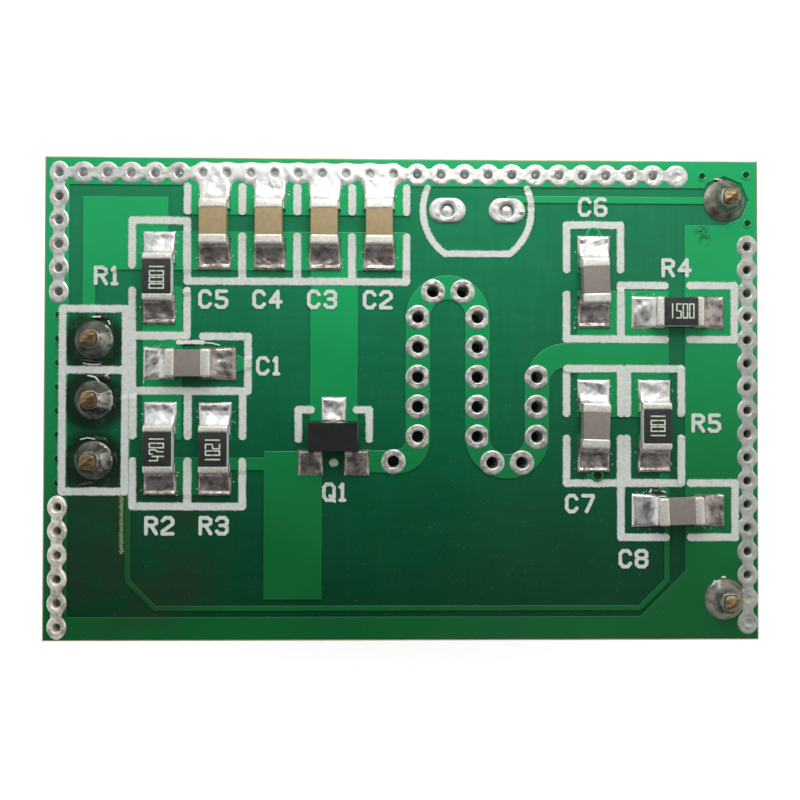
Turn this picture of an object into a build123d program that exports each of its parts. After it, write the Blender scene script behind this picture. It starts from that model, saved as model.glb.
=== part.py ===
import os
from collections import namedtuple
from math import atan, atan2, cos, degrees, pi

from build123d import *

# A small microwave motion sensor: one circuit board with an S-shaped resonator strip, a
# transistor, thirteen chip parts, a fence of ground vias round the rim, a three-pin header
# and two single pins in the corners of the far end.
# Frame: X along the board, Y across it, Z up out of the component side. The origin lies
# under the middle of the board, in the plane of the pin ends that the module stands on.
# All sizes are in millimetres.

# Board and the layers on it
board_length = 30.4
board_width = 20.5
board_thickness = 1.6
copper_thickness = 0.05
copper_setback = 0.1
tin_thickness = 0.04
legend_thickness = 0.03

# Pins: one square wire, cut off above the board, in a plastic body below it
pin_side = 0.64
pin_below = 6.0
pin_above = 1.0
pin_taper = 0.5
pin_end_side = 0.34
pin_cut_drop = 0.4
pin_cut_turn = 30
pin_pitch = 2.54
body_height = 2.54
body_width = 2.5
body_chamfer = 0.5
pin_hole = 1.0
pin_pad = 1.6
header_pins = 3
header_from_left = 2.15
header_from_middle = -0.09
corner_pin_from_right = 1.5
corner_pin_from_side = 1.75
cone_waist = 1.24
cone_top = 1.0
cone_waist_height = 0.25
cone_height = 0.45

# Ground fence: vias with tinned rings along three sides
fence_pitch = 1.0
fence_ring = 1.02
fence_hole = 0.4
fence_bar_margin = 0.01
fence_from_left = 0.65
fence_from_top = 0.72
fence_from_right = 0.52
fence_from_bottom = 0.6
fence_top_end = 3.55
fence_right_start = 3.72
fence_right_end = 0.77
ground_rim_top = 1.23
ground_rim_left = 1.07
ground_rim_bottom = 1.03
ground_rim_right = 3.2
ground_clearance = 0.25

# Resonator: an S of strip with a row of vias down its middle
strip_width = 1.04
strip_spacing = board_length / 12
strip_middle = 0.1033 * board_length
strip_top_turn = 0.1688 * board_width
strip_bottom_turn = -0.0785 * board_width
strip_exit = 0.0907 * board_width
strip_start = -0.1302 * board_width
strip_start_radius = 0.9
strip_via_ring = 1.06
strip_ring_shift = 0.07
strip_via_hole = 0.55
strip_via_rows = 5
strip_turn_via = 0.63

# Chip parts, all of one size, and their footprint
chip_length = 2.0
chip_width = 1.25
resistor_height = 0.5
resistor_cap = 0.32
capacitor_height = 0.6
capacitor_cap = 0.42
cap_skin = 0.03
cap_chamfer = 0.07
glaze_thickness = 0.03
pad_reach = 1.98
pad_gap = 0.74
pad_width = 1.4
joint_toe = 0.08
joint_climb = 0.36

# Legend: the boxes printed round the parts
legend_line = 0.32
box_clearance = 0.455
header_box_margin = 1.29
bracket_length = 1.25
bracket_arm = 0.7
bracket_span = 3.0
dot_size = 0.36

# Transistor
transistor_length = 2.15
transistor_width = 1.27
transistor_height = 0.95
transistor_inset = 0.06
transistor_lift = 0.05
lead_width = 0.3
lead_thickness = 0.12
lead_spacing = 1.3
lead_reach = 0.42
lead_foot = 0.24
transistor_pad_spacing = 1.95
transistor_pad_width = 0.96
transistor_pad_length = 1.1
transistor_pad_reach = 1.67
blob_height = 0.3

# Light sensor position, left unfitted: two long pads and a round outline with a flat
sensor_x = 3.12
sensor_from_top = 2.22
sensor_pad_length = 1.56
sensor_pad_width = 1.05
sensor_hole = 0.69
sensor_fill_drop = 0.35
sensor_outline_radius = 2.32
sensor_outline_flat = 1.95

# Copper areas and tracks
track_width = 0.22
sensor_track_width = 0.3
stub_via_ring = 0.75
supply_patch_left = 0.5
supply_strip_width = 0.52
collector_strip_width = 2.0
emitter_patch_width = 2.45
output_track_x = -0.3816 * board_length
output_track_bevel = 1.15

# Rounds are drawn with few sides, because there are so many of them
sides_of_round_hole = 8
sides_of_via_hole = 6
sides_of_ring_hole = 8
sides_of_large_round = 24

Place = namedtuple("Place", "x y turn skew")

# Middle of each footprint as shares of the board's length and width, with turn 0 along X,
# and how far the fitted part stands askew
top_row = 0.5 - 0.1395
resistors = {
    "r1": Place(-0.3395, 0.2478, 90, 0),
    "r2": Place(-0.3375, -0.1039, 90, 0),
    "r3": Place(-0.2618, -0.1044, 90, 0),
    "r4": Place(0.3845, 0.1805, 0, 0),
    "r5": Place(0.3516, -0.0556, 90, 0),
}
capacitors = {
    "c1": Place(-0.2967, 0.0712, 0, 0),
    "c2": Place(-0.0342, top_row, 90, 0),
    "c3": Place(-0.1102, top_row, 90, 0),
    "c4": Place(-0.1868, top_row, 90, 0),
    "c5": Place(-0.2632, top_row, 90, 0),
    "c6": Place(0.2664, 0.2434, 90, 3.5),
    "c7": Place(0.2664, -0.0556, 90, -1.5),
    "c8": Place(0.3849, -0.2302, 0, 2),
}
transistor = Place(-0.097, -0.078, 0, 0)


def in_millimetres(share):
    return Place(share.x * board_length, share.y * board_width, share.turn, share.skew)


resistors = {name: in_millimetres(share) for name, share in resistors.items()}
capacitors = {name: in_millimetres(share) for name, share in capacitors.items()}
transistor = in_millimetres(transistor)
chips = {**resistors, **capacitors}

# Boxes printed round the chips' footprints
box_length = 2 * (pad_reach + box_clearance)
box_width = pad_width + 2 * box_clearance

# Levels, from the pin ends up
board_bottom = pin_below + body_height
board_top = board_bottom + board_thickness
copper_top = board_top + copper_thickness
pin_top = board_top + pin_above

# Edges and the places tied to them
left = -board_length / 2
right = board_length / 2
bottom = -board_width / 2
top = board_width / 2
header_x = left + header_from_left
corner_x = right - corner_pin_from_right
corner_y = top - corner_pin_from_side
sensor_y = top - sensor_from_top


def rect(x0, x1, y0, y1):
    """Rectangle between two corners."""
    return Pos((x0 + x1) / 2, (y0 + y1) / 2) * Rectangle(x1 - x0, y1 - y0)


def polygon_hole(diameter, sides, x, y):
    """Round hole drawn with few sides, because there are so many of them."""
    return Pos(x, y) * RegularPolygon(diameter / 2, sides)


def ring_outline(diameter, x, y):
    """Round land with few sides, turned so that neighbours meet along a flat side."""
    sides = sides_of_ring_hole
    return Pos(x, y) * Rot(0, 0, 180 / sides) * RegularPolygon(diameter / 2, sides, major_radius=False)


def joined(shapes):
    """One sketch from many."""
    return Sketch() + list(shapes)


def slab(sketch, level, thickness):
    """Flat piece of the sketch's outline, standing on the given level."""
    return extrude(Pos(0, 0, level) * sketch, thickness)


def leaning(sketch, level, height, inset):
    """Piece on the given level whose walls lean in by the inset over its height."""
    return extrude(Pos(0, 0, level) * sketch, height, taper=degrees(atan(inset / height)))


def leaning_down(sketch, level, height, inset):
    """The same, hanging down from the given level."""
    return Pos(0, 0, level) * Rot(180, 0, 0) * leaning(sketch, 0, height, inset)


def header_places():
    """Middle of each header pin, the first one at the top."""
    first = header_from_middle + pin_pitch * (header_pins - 1) / 2
    return [(header_x, first - pin_pitch * i) for i in range(header_pins)]


def corner_places():
    """Middle of the two single pins."""
    return [(corner_x, corner_y), (corner_x, -corner_y)]


def evenly(start, end):
    """Places from start to end, both included, as near the fence pitch as they fit."""
    steps = max(1, round(abs(end - start) / fence_pitch))
    return [start + (end - start) * i / steps for i in range(steps + 1)]


def top_fence():
    y = top - fence_from_top
    return [(x, y) for x in evenly(left + fence_from_left, right - fence_top_end)]


def left_fence():
    x = left + fence_from_left
    return [(x, y) for y in evenly(top - fence_from_top, bottom + fence_from_bottom)]


def right_fence():
    x = right - fence_from_right
    return [(x, y) for y in evenly(top - fence_right_start, bottom + fence_right_end)]


def header_half():
    """Half the length of the box printed round the header."""
    return pin_pitch * (header_pins - 1) / 2 + header_box_margin


def left_fence_above():
    clear = header_from_middle + header_half() + fence_ring / 2
    return [p for p in left_fence() if p[1] > clear]


def left_fence_below():
    clear = header_from_middle - header_half() - fence_ring / 2
    return [p for p in left_fence() if p[1] < clear]


def flooded(x, y):
    """Vias that solder has run into: over the capacitor row and beside the corner pins."""
    in_row = capacitors["c5"].x - pad_width / 2 < x < capacitors["c2"].x + pad_width / 2
    over_row = in_row and y > top - fence_from_top - fence_ring
    last_of_row = y > corner_y and x > right - fence_top_end - fence_pitch / 2
    by_pin = y < -corner_y + fence_ring / 2 and x > 0
    return over_row or last_of_row or by_pin


def open_fence_vias():
    """Vias of the fence that can be seen through."""
    row = top_fence() + left_fence_above()[1:] + left_fence_below() + right_fence()
    return [p for p in row if not flooded(*p)]


def strip_columns():
    """Middle lines of the three straight runs of the resonator."""
    return [strip_middle + strip_spacing * i for i in (-1, 0, 1)]


def resonator_vias():
    """Five in each of the first two runs, three in the last, and those in the bends."""
    first, second, third = strip_columns()
    pitch = (strip_top_turn - strip_bottom_turn) / (strip_via_rows - 1)
    rows = [strip_top_turn - pitch * i for i in range(strip_via_rows)]
    bend_top = strip_top_turn + strip_spacing / 2 * cos(pi / 6)
    bend_bottom = strip_bottom_turn - strip_spacing / 2 * cos(pi / 6)
    vias = [(x, y) for x in (first, second) for y in rows]
    vias += [(third, y) for y in rows[2:]]
    vias += [((first + second) / 2 + side * strip_turn_via, bend_top) for side in (-1, 1)]
    vias += [((second + third) / 2 + side * strip_turn_via, bend_bottom) for side in (-1, 1)]
    vias.append((first - strip_start_radius - strip_width / 8, strip_start))
    return vias


def sensor_holes():
    return [(sensor_x + side * pin_pitch / 2, sensor_y) for side in (-1, 1)]


def pad(place, end):
    """Copper land of one end of a chip: end is -1 or 1."""
    land = rect(pad_gap / 2, pad_reach, -pad_width / 2, pad_width / 2)
    turn = place.turn if end > 0 else place.turn + 180
    return Pos(place.x, place.y) * Rot(0, 0, turn) * land


def transistor_pads():
    """The single land above, then the two below."""
    middle = transistor_pad_reach - transistor_pad_length / 2
    land = Rectangle(transistor_pad_width, transistor_pad_length)
    places = [(0, middle), (-transistor_pad_spacing / 2, -middle), (transistor_pad_spacing / 2, -middle)]
    return [Pos(transistor.x + x, transistor.y + y) * land for x, y in places]


def sensor_land(x, y):
    """Long land with round ends."""
    straight = sensor_pad_length - sensor_pad_width
    end = RegularPolygon(sensor_pad_width / 2, sides_of_large_round)
    ends = [Pos(side * straight / 2, 0) * end for side in (-1, 1)]
    return Pos(x, y) * joined([Rectangle(straight, sensor_pad_width)] + ends)


def round_pad(x, y):
    """Land of a pin, as large as the foot of its solder."""
    return Pos(x, y) * RegularPolygon(pin_pad / 2, sides_of_round_hole)


def track(points, width):
    """Copper track through the points, with square joints."""
    runs = []
    for (x0, y0), (x1, y1) in zip(points, points[1:]):
        turn = degrees(atan2(y1 - y0, x1 - x0))
        length = Vector(x1 - x0, y1 - y0).length
        runs.append(Pos((x0 + x1) / 2, (y0 + y1) / 2) * Rot(0, 0, turn) * Rectangle(length, width))
    joints = [Pos(x, y) * RegularPolygon(width / 2, 8) for x, y in points[1:-1]]
    return joined(runs + joints)


def ground_outline():
    """Rim of copper on all four sides, wide at the right, with the row over the capacitors."""
    x0, x1 = left + copper_setback, right - copper_setback
    y0, y1 = bottom + copper_setback, top - copper_setback
    inner_right = right - ground_rim_right
    inner_bottom = bottom + ground_rim_bottom
    rim = rect(x0, x1, top - ground_rim_top, y1)
    rim += rect(x0, left + ground_rim_left, y0, y1)
    rim += rect(x0, x1, y0, inner_bottom)
    step = corner_y - pin_pad / 2 - ground_clearance
    rim += rect(inner_right, x1, y0, step)
    rim += rect(corner_x, x1, step, y1)
    bevel = output_track_bevel + track_width
    corner = [(inner_right, inner_bottom), (inner_right, inner_bottom + bevel * 1.4)]
    rim += Polygon(*corner, (inner_right - bevel * 1.4, inner_bottom), align=None)
    first, last = capacitors["c5"], capacitors["c2"]
    rim += rect(first.x - box_width / 2, last.x + box_width / 2, last.y + pad_gap / 2, y1)
    rim += rect(x0, header_x, header_places()[-1][1] - pin_side / 2, header_places()[-1][1] + pin_side / 2)
    rim += round_pad(*header_places()[-1])
    return rim - Pos(corner_x, corner_y) * RegularPolygon(pin_pad / 2 + ground_clearance, sides_of_round_hole)


def fence_channel():
    """Where the tinned lands of the fence reach down to the board between the masked copper."""
    bar = fence_hole / 2 + fence_bar_margin
    lines = [top_fence(), left_fence_above(), left_fence_below(), right_fence()]
    return joined(
        rect(min(x for x, y in line) - bar, max(x for x, y in line) + bar,
             min(y for x, y in line) - bar, max(y for x, y in line) + bar)
        for line in lines
    )


def ring_chain(places):
    """Tinned rings that run into each other along a row of vias."""
    return joined(ring_outline(fence_ring, x, y) for x, y in places)


def make_circuit_board():
    """Glass laminate with its green coat, drilled for vias and pins."""
    holes = [polygon_hole(fence_hole, sides_of_via_hole, x, y) for x, y in open_fence_vias()]
    holes += [polygon_hole(strip_via_hole, sides_of_via_hole, x, y) for x, y in resonator_vias()]
    holes += [polygon_hole(sensor_hole, sides_of_ring_hole, x, y) for x, y in sensor_holes()]
    pins = header_places() + corner_places()
    holes += [polygon_hole(pin_hole, sides_of_round_hole, x, y) for x, y in pins]
    return slab(Rectangle(board_length, board_width) - holes, board_bottom, board_thickness)


def make_fence_tin(places):
    """Tinned lands of a run of fence vias: a bar on the board and the scalloped rings on it."""
    holes = [polygon_hole(fence_hole, sides_of_via_hole, x, y) for x, y in places if not flooded(x, y)]
    feet = [round_pad(x, y) for x, y in corner_places()]
    rings = (ring_chain(places) & ground_outline()) - feet
    bar = fence_channel() & ring_chain_zone(places) & ground_outline()
    return slab(bar - holes, board_top, copper_thickness) + slab(rings - holes, copper_top, tin_thickness)


def ring_chain_zone(places):
    """Area round a run of vias, to pick its own part of the channel."""
    half = fence_ring / 2
    rows = [[p for p in places if abs(p[1] - places[0][1]) < half]]
    rows.append([p for p in places if abs(p[0] - places[0][0]) < half])
    return joined(
        rect(min(x for x, y in row) - half, max(x for x, y in row) + half,
             min(y for x, y in row) - half, max(y for x, y in row) + half)
        for row in rows
    )


def copper_ground():
    pins = [polygon_hole(pin_hole, sides_of_round_hole, *header_places()[-1])]
    pins.append(polygon_hole(pin_hole, sides_of_round_hole, *corner_places()[1]))
    return ground_outline() - fence_channel() - pins


def copper_supply():
    """From the first pin up to a patch, along the lower lands of the row and down to the transistor."""
    r1, c2, c3 = resistors["r1"], capacitors["c2"], capacitors["c3"]
    low = min(c2.y - pad_reach, r1.y + pad_gap / 2)
    high = max(c2.y - pad_gap / 2, r1.y + pad_reach)
    patch_right = r1.x + pad_width / 4
    x0 = header_x - supply_patch_left
    x, y = header_places()[0]
    area = rect(r1.x - pad_width / 2, c2.x + box_width / 2, low, high)
    area += rect(x0, patch_right, low, top - ground_rim_top - 2 * ground_clearance)
    area += rect(x0, x0 + supply_strip_width, y, low)
    area += Pos(x, y) * Rectangle(pin_pad, pin_pad)
    strip = c3.x + collector_strip_width / 5
    foot = transistor.y + transistor_width / 2
    area += rect(strip - collector_strip_width / 2, strip + collector_strip_width / 2, foot, low)
    area += transistor_pads()[0]
    return area - polygon_hole(pin_hole, sides_of_round_hole, x, y)


def copper_bias():
    r1, r2 = resistors["r1"], resistors["r2"]
    area = rect(r1.x - pad_width / 2, r1.x + pad_width / 2 + ground_clearance, r2.y + pad_gap / 2,
                r1.y - pad_gap / 2)
    return area + pad(capacitors["c1"], -1) + pad(r2, 1) + pad(r1, -1)


def copper_emitter():
    r2, r3 = resistors["r2"], resistors["r3"]
    pads = transistor_pads()
    right_side = transistor.x - transistor_pad_spacing / 2 + transistor_pad_width / 2
    patch_top = transistor.y - transistor_width / 2
    patch_bottom = output_track_low() + track_width / 2 + ground_clearance
    area = rect(r2.x, r3.x, r2.y - pad_reach, r2.y - pad_gap / 2)
    area += rect(r3.x, right_side - emitter_patch_width / 2, r3.y - 0.9, r3.y - pad_gap / 2)
    area += rect(right_side - emitter_patch_width, right_side, patch_bottom, patch_top)
    return area + pad(r2, -1) + pad(r3, -1) + pads[1]


def output_track_low():
    """Middle line of the long run of the output track, beside the ground rim."""
    return bottom + ground_rim_bottom + ground_clearance + track_width / 2


def copper_output():
    """From the second pin down, along the board and up to the capacitor and resistor at the far end."""
    c8, r5 = capacitors["c8"], resistors["r5"]
    x, y = header_places()[1]
    low = output_track_low()
    far = c8.x - pad_gap / 2 - track_width / 2
    bevel = output_track_bevel
    points = [(x, y), (output_track_x, y), (output_track_x, low + bevel), (output_track_x + bevel, low)]
    points += [(far - bevel, low), (far, low + bevel), (far, c8.y)]
    area = track(points, track_width) + round_pad(x, y) + pad(c8, -1) + pad(r5, -1)
    area += rect(far + track_width / 2 - 2 * track_width, far + track_width / 2, c8.y, r5.y - pad_gap)
    return area - polygon_hole(pin_hole, sides_of_round_hole, x, y)


def ring_sector(x, y, inner, outer, x_side, y_side):
    """Quarter of a bent strip, on the side given by two signs."""
    quarter = rect(*sorted((x, x + x_side * outer)), *sorted((y, y + y_side * outer)))
    return (Pos(x, y) * (Circle(outer) - Circle(inner))) & quarter


def copper_resonator():
    """S-shaped strip from the transistor to the area that joins the four parts at the far end."""
    first, second, third = strip_columns()
    half = strip_width / 2
    inner, outer = strip_spacing / 2 - half, strip_spacing / 2 + half
    exit_turn = strip_exit - strip_spacing / 2
    r5, r4, c6, c7 = resistors["r5"], resistors["r4"], capacitors["c6"], capacitors["c7"]
    start_x = first - strip_start_radius
    start_y = strip_start + strip_start_radius
    strip = rect(transistor.x + transistor_pad_spacing / 2, start_x, strip_start - half + 0.05,
                 strip_start + half - 0.05)
    strip += ring_sector(start_x, start_y, strip_start_radius - half, strip_start_radius + half, 1, -1)
    strip += rect(first - half, first + half, start_y, strip_top_turn)
    for side in (-1, 1):
        strip += ring_sector((first + second) / 2, strip_top_turn, inner, outer, side, 1)
        strip += ring_sector((second + third) / 2, strip_bottom_turn, inner, outer, side, -1)
    strip += rect(second - half, second + half, strip_bottom_turn, strip_top_turn)
    strip += rect(third - half, third + half, strip_bottom_turn, exit_turn)
    strip += ring_sector(third + strip_spacing / 2, exit_turn, inner, outer, -1, 1)
    far = r4.x - pad_gap / 2
    strip += rect(third + strip_spacing / 2, far, strip_exit - half, strip_exit + half)
    strip += rect(c6.x - pad_width / 2, far, r5.y + pad_gap / 2, c6.y - pad_gap / 2)
    strip += [pad(r4, -1), pad(c6, -1), pad(c7, 1), pad(r5, 1), transistor_pads()[2]]
    return strip - [polygon_hole(strip_via_hole, sides_of_via_hole, x, y) for x, y in resonator_vias()]


def copper_sensor():
    """Track from the light sensor's second land to the pin in the corner."""
    x, y = sensor_holes()[1]
    area = rect(x, corner_x, corner_y - sensor_track_width / 2, corner_y + sensor_track_width / 2)
    area += round_pad(corner_x, corner_y)
    return area - sensor_land(x, y) - polygon_hole(pin_hole, sides_of_round_hole, corner_x, corner_y)


def copper_stubs():
    """Lands that end in a via of their own, and the base land."""
    c1, c6, c7 = capacitors["c1"], capacitors["c6"], capacitors["c7"]
    ends = [(c1, 1), (c6, 1), (c7, -1)]
    stubs = []
    for place, end in ends:
        reach = Vector(end * pad_reach, 0).rotate(Axis.Z, place.turn)
        ring = Pos(place.x + reach.X, place.y + reach.Y) * RegularPolygon(stub_via_ring / 2, sides_of_ring_hole)
        stubs.append(pad(place, end) + ring)
    return joined(stubs + [pad(resistors["r3"], 1)])


def make_resonator_rings():
    """Tinned ring round each via, cut straight where the strip ends."""
    strip = copper_resonator()
    rings = []
    for x, y in resonator_vias():
        ring = ring_outline(strip_via_ring, x + strip_ring_shift, y) & strip
        rings.append(slab(ring, copper_top, tin_thickness))
    return Compound(children=rings)


def make_sensor_lands():
    """Two long tinned lands whose holes solder has nearly filled."""
    lands = []
    for x, y in sensor_holes():
        land = slab(sensor_land(x, y), board_top, copper_thickness + tin_thickness)
        fill = slab(polygon_hole(sensor_hole, sides_of_ring_hole, x, y), board_bottom, board_thickness)
        cup = polygon_hole(sensor_hole - 2 * copper_thickness, sides_of_ring_hole, x, y)
        lands.append(land + fill - slab(cup, board_top - sensor_fill_drop, 1))
    return Compound(children=lands)


def chip_box(place):
    """Printed box round a chip, open in the middle of its long sides."""
    frame = Rectangle(box_length + legend_line, box_width + legend_line)
    frame -= Rectangle(box_length - legend_line, box_width - legend_line)
    frame -= Rectangle(pad_gap, box_width * 2)
    return Pos(place.x, place.y) * Rot(0, 0, place.turn) * frame


def header_box():
    """Printed box round the header, with a line that sets the first pin apart."""
    half = header_half()
    frame = Rectangle(2 * header_box_margin + legend_line, 2 * half + legend_line)
    frame -= Rectangle(2 * header_box_margin - legend_line, 2 * half - legend_line)
    line = header_pins * pin_pitch / 2 - pin_pitch
    frame += Pos(0, line) * Rectangle(2 * header_box_margin, legend_line)
    return Pos(header_x, header_from_middle) * frame


def transistor_marks():
    """Two printed brackets and a dot."""
    level = transistor.y + transistor_pad_reach - transistor_pad_length / 2
    marks = Sketch()
    for side in (-1, 1):
        x = transistor.x + side * bracket_span / 2
        marks += Pos(x, level - bracket_length / 2) * Rectangle(legend_line, bracket_length + legend_line)
        marks += Pos(x - side * bracket_arm / 2, level) * Rectangle(bracket_arm, legend_line)
    dot_y = transistor.y - transistor_pad_reach + transistor_pad_length / 2
    return marks + Pos(transistor.x, dot_y) * RegularPolygon(dot_size / 2, 8)


def sensor_outline():
    """Printed circle with a flat, left open where it would run over the fence."""
    r = sensor_outline_radius
    half = legend_line / 2
    flat = sensor_y - sensor_outline_flat
    centre = Pos(sensor_x, sensor_y)
    kept = rect(sensor_x - 2 * r, sensor_x + 2 * r, flat - half, top - ground_rim_top)
    outer, inner = (centre * RegularPolygon(size, sides_of_large_round) for size in (r + half, r - half))
    bar = rect(sensor_x - 2 * r, sensor_x + 2 * r, flat - half, flat + half) & outer
    return ((outer - inner) & kept) + bar


def legend_outlines():
    """All printed outlines, without what would lie on lands or off the board's mask."""
    drawn = joined([chip_box(place) for place in chips.values()])
    drawn += [header_box(), transistor_marks(), sensor_outline()]
    fence = ring_chain(top_fence() + left_fence_above() + left_fence_below() + right_fence())
    row = rect(left, right, top - ground_rim_top, top)
    return drawn - fence - row


def make_legend():
    """The print lies on the board, and a step higher where it crosses copper."""
    drawn = legend_outlines()
    copper = joined(all_copper())
    low = slab(drawn - copper, board_top, legend_thickness)
    high = slab(drawn & copper, copper_top, legend_thickness)
    return Compound(children=low.solids() + high.solids())


def all_copper():
    return [copper_ground(), copper_supply(), copper_bias(), copper_emitter(), copper_output(),
            copper_resonator(), copper_sensor(), copper_stubs()]


def on_chip(place, shape):
    """Put a shape, drawn along X on level 0, where the chip is fitted."""
    return Pos(place.x, place.y, copper_top) * Rot(0, 0, place.turn + place.skew) * shape


def make_chip_body(place, height, cap):
    """Ceramic between the two metal ends, a little thinner than they are."""
    size = (chip_length - 2 * cap, chip_width - 2 * cap_skin, height - 2 * cap_skin)
    block = Pos(0, 0, cap_skin) * Box(*size, align=(Align.CENTER, Align.CENTER, Align.MIN))
    return on_chip(place, block)


def make_chip_ends(place, height, cap):
    """The two metal ends, bevelled where solder climbs them."""
    block = Box(cap, chip_width, height, align=(Align.MAX, Align.CENTER, Align.MIN))
    block = Pos(chip_length / 2, 0, 0) * block
    block = chamfer(block.faces().sort_by(Axis.X)[-1].edges(), cap_chamfer)
    ends = [on_chip(place, Rot(0, 0, turn) * block) for turn in (0, 180)]
    return Compound(children=ends)


def make_glazes():
    """Black glaze over the middle of each resistor."""
    size = (chip_length - 2 * resistor_cap, chip_width - 2 * cap_skin, cap_skin + glaze_thickness)
    glaze = Box(*size, align=(Align.CENTER, Align.CENTER, Align.MIN))
    glaze = Pos(0, 0, resistor_height - cap_skin) * glaze
    return Compound(children=[on_chip(place, glaze) for place in resistors.values()])


def joint():
    """Solder between the outer end of a land and the chip's end, hollow like a wetted fillet."""
    run = pad_reach - chip_length / 2
    profile = [(chip_length / 2, 0), (pad_reach, 0), (pad_reach, joint_toe)]
    profile += [(pad_reach - run / 2, joint_toe + joint_climb / 4), (chip_length / 2, joint_climb)]
    return extrude(Plane.XZ * Polygon(*profile, align=None), pad_width / 2, both=True)


def make_joints(places):
    """Solder joints at both ends of each chip, cut off where the fence's own tin begins."""
    row = rect(left, right, top - fence_from_top - fence_ring / 2, top)
    fence = slab(row, board_top, resistor_height + capacitor_height)
    joints = []
    for place in places:
        joints += [on_chip(place, Rot(0, 0, turn) * joint()) - fence for turn in (0, 180)]
    return Compound(children=joints)


def make_transistor_case():
    """Moulded case in two halves that lean in from the line where the leads leave it."""
    outline = Rectangle(transistor_length, transistor_width)
    middle = transistor_height / 2
    upper = leaning(outline, middle, middle, transistor_inset)
    lower = leaning_down(outline, middle, middle - transistor_lift, transistor_inset)
    return Pos(transistor.x, transistor.y, copper_top) * (upper + lower)


def lead():
    """Gull-wing lead: out of the case, down and along the land, drawn towards +Y."""
    t = lead_thickness
    root = transistor_width / 2
    tip = root + lead_reach
    level = transistor_height / 2
    bend = tip - lead_foot - t / 2
    profile = [(root, level - t / 2), (root, level + t / 2), (bend, level + t / 2), (bend + t, t), (tip, t)]
    profile += [(tip, 0), (bend, 0), (bend - t / 2, level - t / 2)]
    return extrude(Plane.YZ * Polygon(*profile, align=None), lead_width / 2, both=True)


def make_transistor_leads():
    case = make_transistor_case()
    single = lead()
    spots = [Pos(0, 0, 0), Pos(-lead_spacing / 2, 0, 0) * Rot(0, 0, 180), Pos(lead_spacing / 2, 0, 0) * Rot(0, 0, 180)]
    here = Pos(transistor.x, transistor.y, copper_top)
    return Compound(children=[here * spot * single - case for spot in spots])


def make_transistor_joints():
    """Low mound of solder on each land, round the foot of the lead."""
    leads = make_transistor_leads()
    case = make_transistor_case()
    mounds = []
    for land in transistor_pads():
        mound = extrude(Pos(0, 0, copper_top) * land, blob_height, taper=30)
        mounds += (mound - leads - case).solids()
    return Compound(children=mounds)


def make_pin(x, y):
    """Square wire with a tapered lower end, nipped off above the board along a slanting ridge."""
    square = Rectangle(pin_side, pin_side)
    wire = leaning_down(square, pin_taper, pin_taper, (pin_side - pin_end_side) / 2)
    wire += slab(square, pin_taper, pin_top - pin_taper)
    nip = [(0, pin_top), (pin_side, pin_top - pin_cut_drop), (pin_side, pin_top + 1), (0, pin_top + 1)]
    wedge = extrude(Plane.XZ * Polygon(*nip, align=None), pin_side, both=True)
    for turn in (pin_cut_turn, pin_cut_turn + 180):
        wire -= Rot(0, 0, turn) * wedge
    return Pos(x, y, 0) * wire


def make_pin_body(places):
    """Plastic body that the pins are pressed through, with a nick between positions."""
    section = Rectangle(body_width, pin_pitch)
    section = chamfer(section.vertices(), body_chamfer)
    hole = Rectangle(pin_side, pin_side)
    outline = joined(Pos(x, y) * section for x, y in places) - [Pos(x, y) * hole for x, y in places]
    return slab(outline, pin_below, body_height)


def make_pin_solder(x, y):
    """Cone of solder up the pin, and the solder that fills the hole below it."""
    flat = cos(pi / sides_of_round_hole) / 2
    foot = leaning(round_pad(x, y), copper_top, cone_waist_height, (pin_pad - cone_waist) * flat)
    waist = Pos(x, y) * RegularPolygon(cone_waist / 2, sides_of_round_hole)
    upper = leaning(waist, copper_top + cone_waist_height, cone_height, (cone_waist - cone_top) * flat)
    fill = slab(polygon_hole(pin_hole, sides_of_round_hole, x, y), board_bottom, copper_top - board_bottom)
    wire = slab(Pos(x, y) * Rectangle(pin_side, pin_side), board_bottom, pin_top - board_bottom)
    return foot + upper + fill - wire


def make_pieces():
    """Every piece of the module by name."""
    pieces = {
        "circuit_board": make_circuit_board(),
        "fence_tin_top": make_fence_tin(top_fence() + left_fence_above()),
        "fence_tin_left": make_fence_tin(left_fence_below()),
        "fence_tin_right": make_fence_tin(right_fence()),
        "resonator_via_rings": make_resonator_rings(),
        "light_sensor_lands": make_sensor_lands(),
        "legend_outlines": make_legend(),
        "resistor_glazes": make_glazes(),
        "transistor_case": make_transistor_case(),
        "transistor_leads": make_transistor_leads(),
        "transistor_solder": make_transistor_joints(),
        "resistor_solder": make_joints(resistors.values()),
        "capacitor_solder": make_joints(capacitors.values()),
        "header_body": make_pin_body(header_places()),
    }
    names = ("ground", "supply", "bias", "emitter", "output", "resonator", "sensor", "stubs")
    for name, outline in zip(names, all_copper()):
        pieces[f"copper_{name}"] = slab(outline, board_top, copper_thickness)
    for name, place in resistors.items():
        pieces[f"{name}_substrate"] = make_chip_body(place, resistor_height, resistor_cap)
        pieces[f"{name}_ends"] = make_chip_ends(place, resistor_height, resistor_cap)
    for name, place in capacitors.items():
        pieces[f"{name}_ceramic"] = make_chip_body(place, capacitor_height, capacitor_cap)
        pieces[f"{name}_ends"] = make_chip_ends(place, capacitor_height, capacitor_cap)
    for number, (x, y) in enumerate(header_places(), start=1):
        pieces[f"header_pin_{number}"] = make_pin(x, y)
    for side, (x, y) in zip(("upper", "lower"), corner_places()):
        pieces[f"corner_pin_{side}"] = make_pin(x, y)
        pieces[f"corner_pin_body_{side}"] = make_pin_body([(x, y)])
    cones = [make_pin_solder(x, y) for x, y in header_places() + corner_places()]
    pieces["pin_solder"] = Compound(children=cones)
    return pieces


os.makedirs("parts", exist_ok=True)
for node, piece in make_pieces().items():
    export_step(piece, f"parts/{node}.step")
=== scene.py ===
import math

import bmesh
import bpy
import numpy as np
from mathutils import Matrix, Vector
from mathutils.bvhtree import BVHTree


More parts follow.
